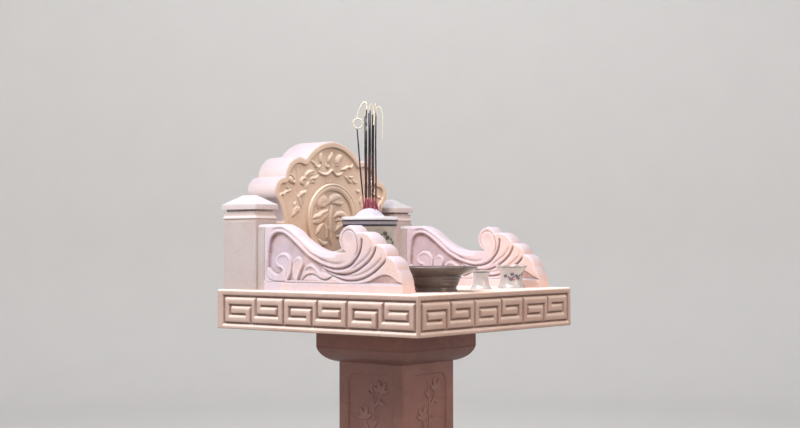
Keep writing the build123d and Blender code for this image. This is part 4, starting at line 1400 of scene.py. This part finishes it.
# Each stick's foot and tip: across, beyond, height
bundle_sticks = [((across, away, 188), (across * 1.06, away * 1.3, tip)) for across, away, tip in (
    (-11, 3, 428), (-7.4, -5, 443), (-2.2, 6, 436), (1.4, -6, 441), (6.2, 4, 432), (9.4, -4, 443),
    (14.8, 3, 437))]
leaning_stick = ((-14, -2, 186), (-31.5, -2, 396))
warm_below = 330
red_below = 224
stick_radii = [1.6, 1.8, 2.0, 1.8, 1.4]
stub_radii = [1.15, 1.15, 1.0]
stub_count = 60
stub_middle = 6
stub_spread = (22, 14)
# The ring's middle, across and up, and its radius
ash_ring = (-29.0, 409.0, 12.0)
# Burnt ends that hold together: thickness, then (across, beyond, height) from the stick upward
burnt_ends = [
    (2.1, [(-6.9, -6.5, 443), (-7, -6, 453), (-9.5, -5, 461), (-15.5, -4, 461), (-22, -3, 451),
           (-28, -2, 437), (-32.5, -2, 420)]),
    (2.1, [(-11.6, 4, 428), (-10.5, 4, 440), (-8.5, 3, 450), (-7, 2, 458)]),
    (2.3, [(10.5, -6, 405), (11.6, -6, 424), (10, -5, 443), (6.5, -5, 455), (2.5, -6, 462)]),
    (2.1, [(1.6, -7.8, 441), (1.2, -8, 450), (3, -8, 457)]),
    (2.2, [(18.5, 3, 428), (16.5, 4, 440), (15.5, 4, 451), (13.5, 4, 461)]),
    (1.4, [(15.4, 4, 437), (19, 4, 449), (26, 3, 450), (31, 2, 438), (33, 2, 418), (32, 2, 392),
           (31, 2, 366)]),
]


def build_incense():
    bm = bmesh.new()
    for number, (foot, tip) in enumerate(bundle_sticks + [leaning_stick]):
        foot, tip = in_the_pot(*foot), in_the_pot(*tip)
        way = tip - foot
        points = []
        for step in range(15):
            share = step / 14
            bow_x = noise.noise((share * 2, number * 3.1, 0))
            bow_y = noise.noise((0, number * 2.7, share * 2))
            points.append(foot + way * share + Vector((bow_x, bow_y, 0)) * 1.2 * sin(pi * share))
        rod(bm, points, stick_radii, 8)
    draws = np.random.default_rng(11)
    for number in range(stub_count):
        angle = draws.uniform(0, 2 * pi)
        away = draws.uniform(0.15, 1) ** 0.6
        across = stub_middle + stub_spread[0] * away * cos(angle)
        deep = stub_spread[1] * away * sin(angle)
        lean = draws.uniform(-0.16, 0.16, 2)
        ground = 198 - 0.5 * np.hypot(across, deep)
        length = draws.uniform(9, 27)
        foot = in_the_pot(across, deep, ground - 8)
        tip = in_the_pot(across + lean[0] * length, deep + lean[1] * length, ground + length)
        rod(bm, [foot, foot.lerp(tip, 0.5), tip], stub_radii, 6)
    piece = finish_piece("incense_bundle", bm, stick_stuff, ["incense_sticks"], 50)
    piece.data.materials.append(warm_stick_stuff)
    piece.data.materials.append(stub_stuff)
    for face in piece.data.polygons:
        height = face.center.z / METRES - table_top
        face.material_index = (height < warm_below) + (height < red_below)


def build_ash_curls():
    """The burnt ends of the sticks, and the ring that one has curled into."""
    bm = bmesh.new()
    for thickness, line in burnt_ends:
        soft = [in_the_pot(*point) for point in soft_line(line, 2.0)]
        rod(bm, soft, [thickness, thickness, thickness * 0.9, thickness * 0.6], 8)
    across, up, radius = ash_ring
    turns = [radians(-80 + 350 * step / 48) for step in range(49)]
    ring = [in_the_pot(across + radius * cos(turn), -2, up + radius * sin(turn)) for turn in turns]
    rod(bm, ring, [2.1, 2.2, 2.1, 1.9], 8)
    finish_piece("ash_strands", bm, strand_stuff, ["ash_curls"], 60)


def build_bowl():
    outer = [(0.01, 0), (50.5, 0), (51.8, 1.2), (51.6, 3.0), (49.2, 6), (48.4, 9), (50.6, 12.5),
             (51.4, 13.8), (53.4, 17), (53.0, 18.4), (55.4, 22), (56.6, 25), (56.2, 26.4), (58.6, 30),
             (59.8, 33), (58.8, 35.6)]
    flare = curve_profile([(59.2, 36), (69, 39.4), (82, 45.4), (93, 51), (97, 53.2)], 3)
    lip = [(97.9, 54.4), (97.8, 55.8), (96.8, 56.8), (95.2, 57), (93.4, 56.2)]
    inner = curve_profile([(92.4, 55.2), (80, 49), (66, 43.8), (54, 40.6), (52, 38.5)], 3)
    well = [(51.4, 34), (47.6, 20), (42.4, 10), (36, 8), (0.01, 8)]
    profile = on_table(outer + flare + lip + inner + well)
    finish_piece("dark_bowl", spun(profile, bowl_place, 112), dark_glaze, ["offering_bowl"],
                 45)


def cup_wall(height, rim, waist, foot):
    """The flared outer wall of a cup, from above its foot to just under its lip."""
    points = [(foot - 1, 3), (foot - 5.5, height * 0.2), (waist, height * 0.55),
              ((waist + rim) / 2 - 0.5, height * 0.82), (rim - 0.6, height - 1.0)]
    return curve_profile(points, 2)


def build_cup(name, node_name, place, sizes, floor, scallops):
    height, rim, waist, foot = sizes
    outer = [(0.01, 1.0), (foot - 5, 1.0), (foot - 4, 0.0), (foot - 0.6, 0.0), (foot, 1.2), (foot - 1, 3)]
    outer += cup_wall(*sizes)
    lip = [(rim - 0.3, height - 0.3), (rim - 1.2, height), (rim - 2.4, height - 0.6)]
    well = waist - 3
    inner = curve_profile([(rim - 3, height - 1.6), ((waist + rim) / 2 - 4, height * 0.8),
                           (well, floor + 5), (well - 3, floor + 0.8), (well * 0.4, floor)], 2)
    bm = spun(on_table(outer + lip + inner + [(0.01, floor)]), place)
    for face in bm.faces:
        spot = face.calc_center_median()
        out = Vector((spot.x - place[0], spot.y - place[1])).length
        level = spot.z - table_top
        if height - 6.4 < level < height - 4.2 and out > (waist + rim) / 2 - 1.5:
            face.material_index = 1
    if scallops:
        for vert in bm.verts:
            level = (vert.co.z - table_top) / height
            out = Vector((vert.co.x - place[0], vert.co.y - place[1], 0))
            if level > 0.6 and out.length > waist * 0.6:
                angle = np.arctan2(out.y, out.x)
                wave = abs(sin(scallops * angle / 2)) - 1
                share = (level - 0.6) / 0.4
                vert.co.z += wave * 3.4 * share ** 2
                vert.co += out.normalized() * wave * 1.8 * share ** 2
    piece = finish_piece(name, bm, cup_glaze, [node_name], 50)
    piece.data.materials.append(petal_paint)


set_the_camera()
build_floor()
set_the_lights()
build_pedestal()
build_column()
build_carved_stone()
build_posts()
build_burner()
build_ash()
build_incense()
build_ash_curls()
build_bowl()
build_cup("little_cup", "small_cup", small_cup_place, small_cup_sizes, 20, 0)
build_cup("scalloped_cup", "large_cup", large_cup_place, large_cup_sizes, 24, 10)
build_painting()
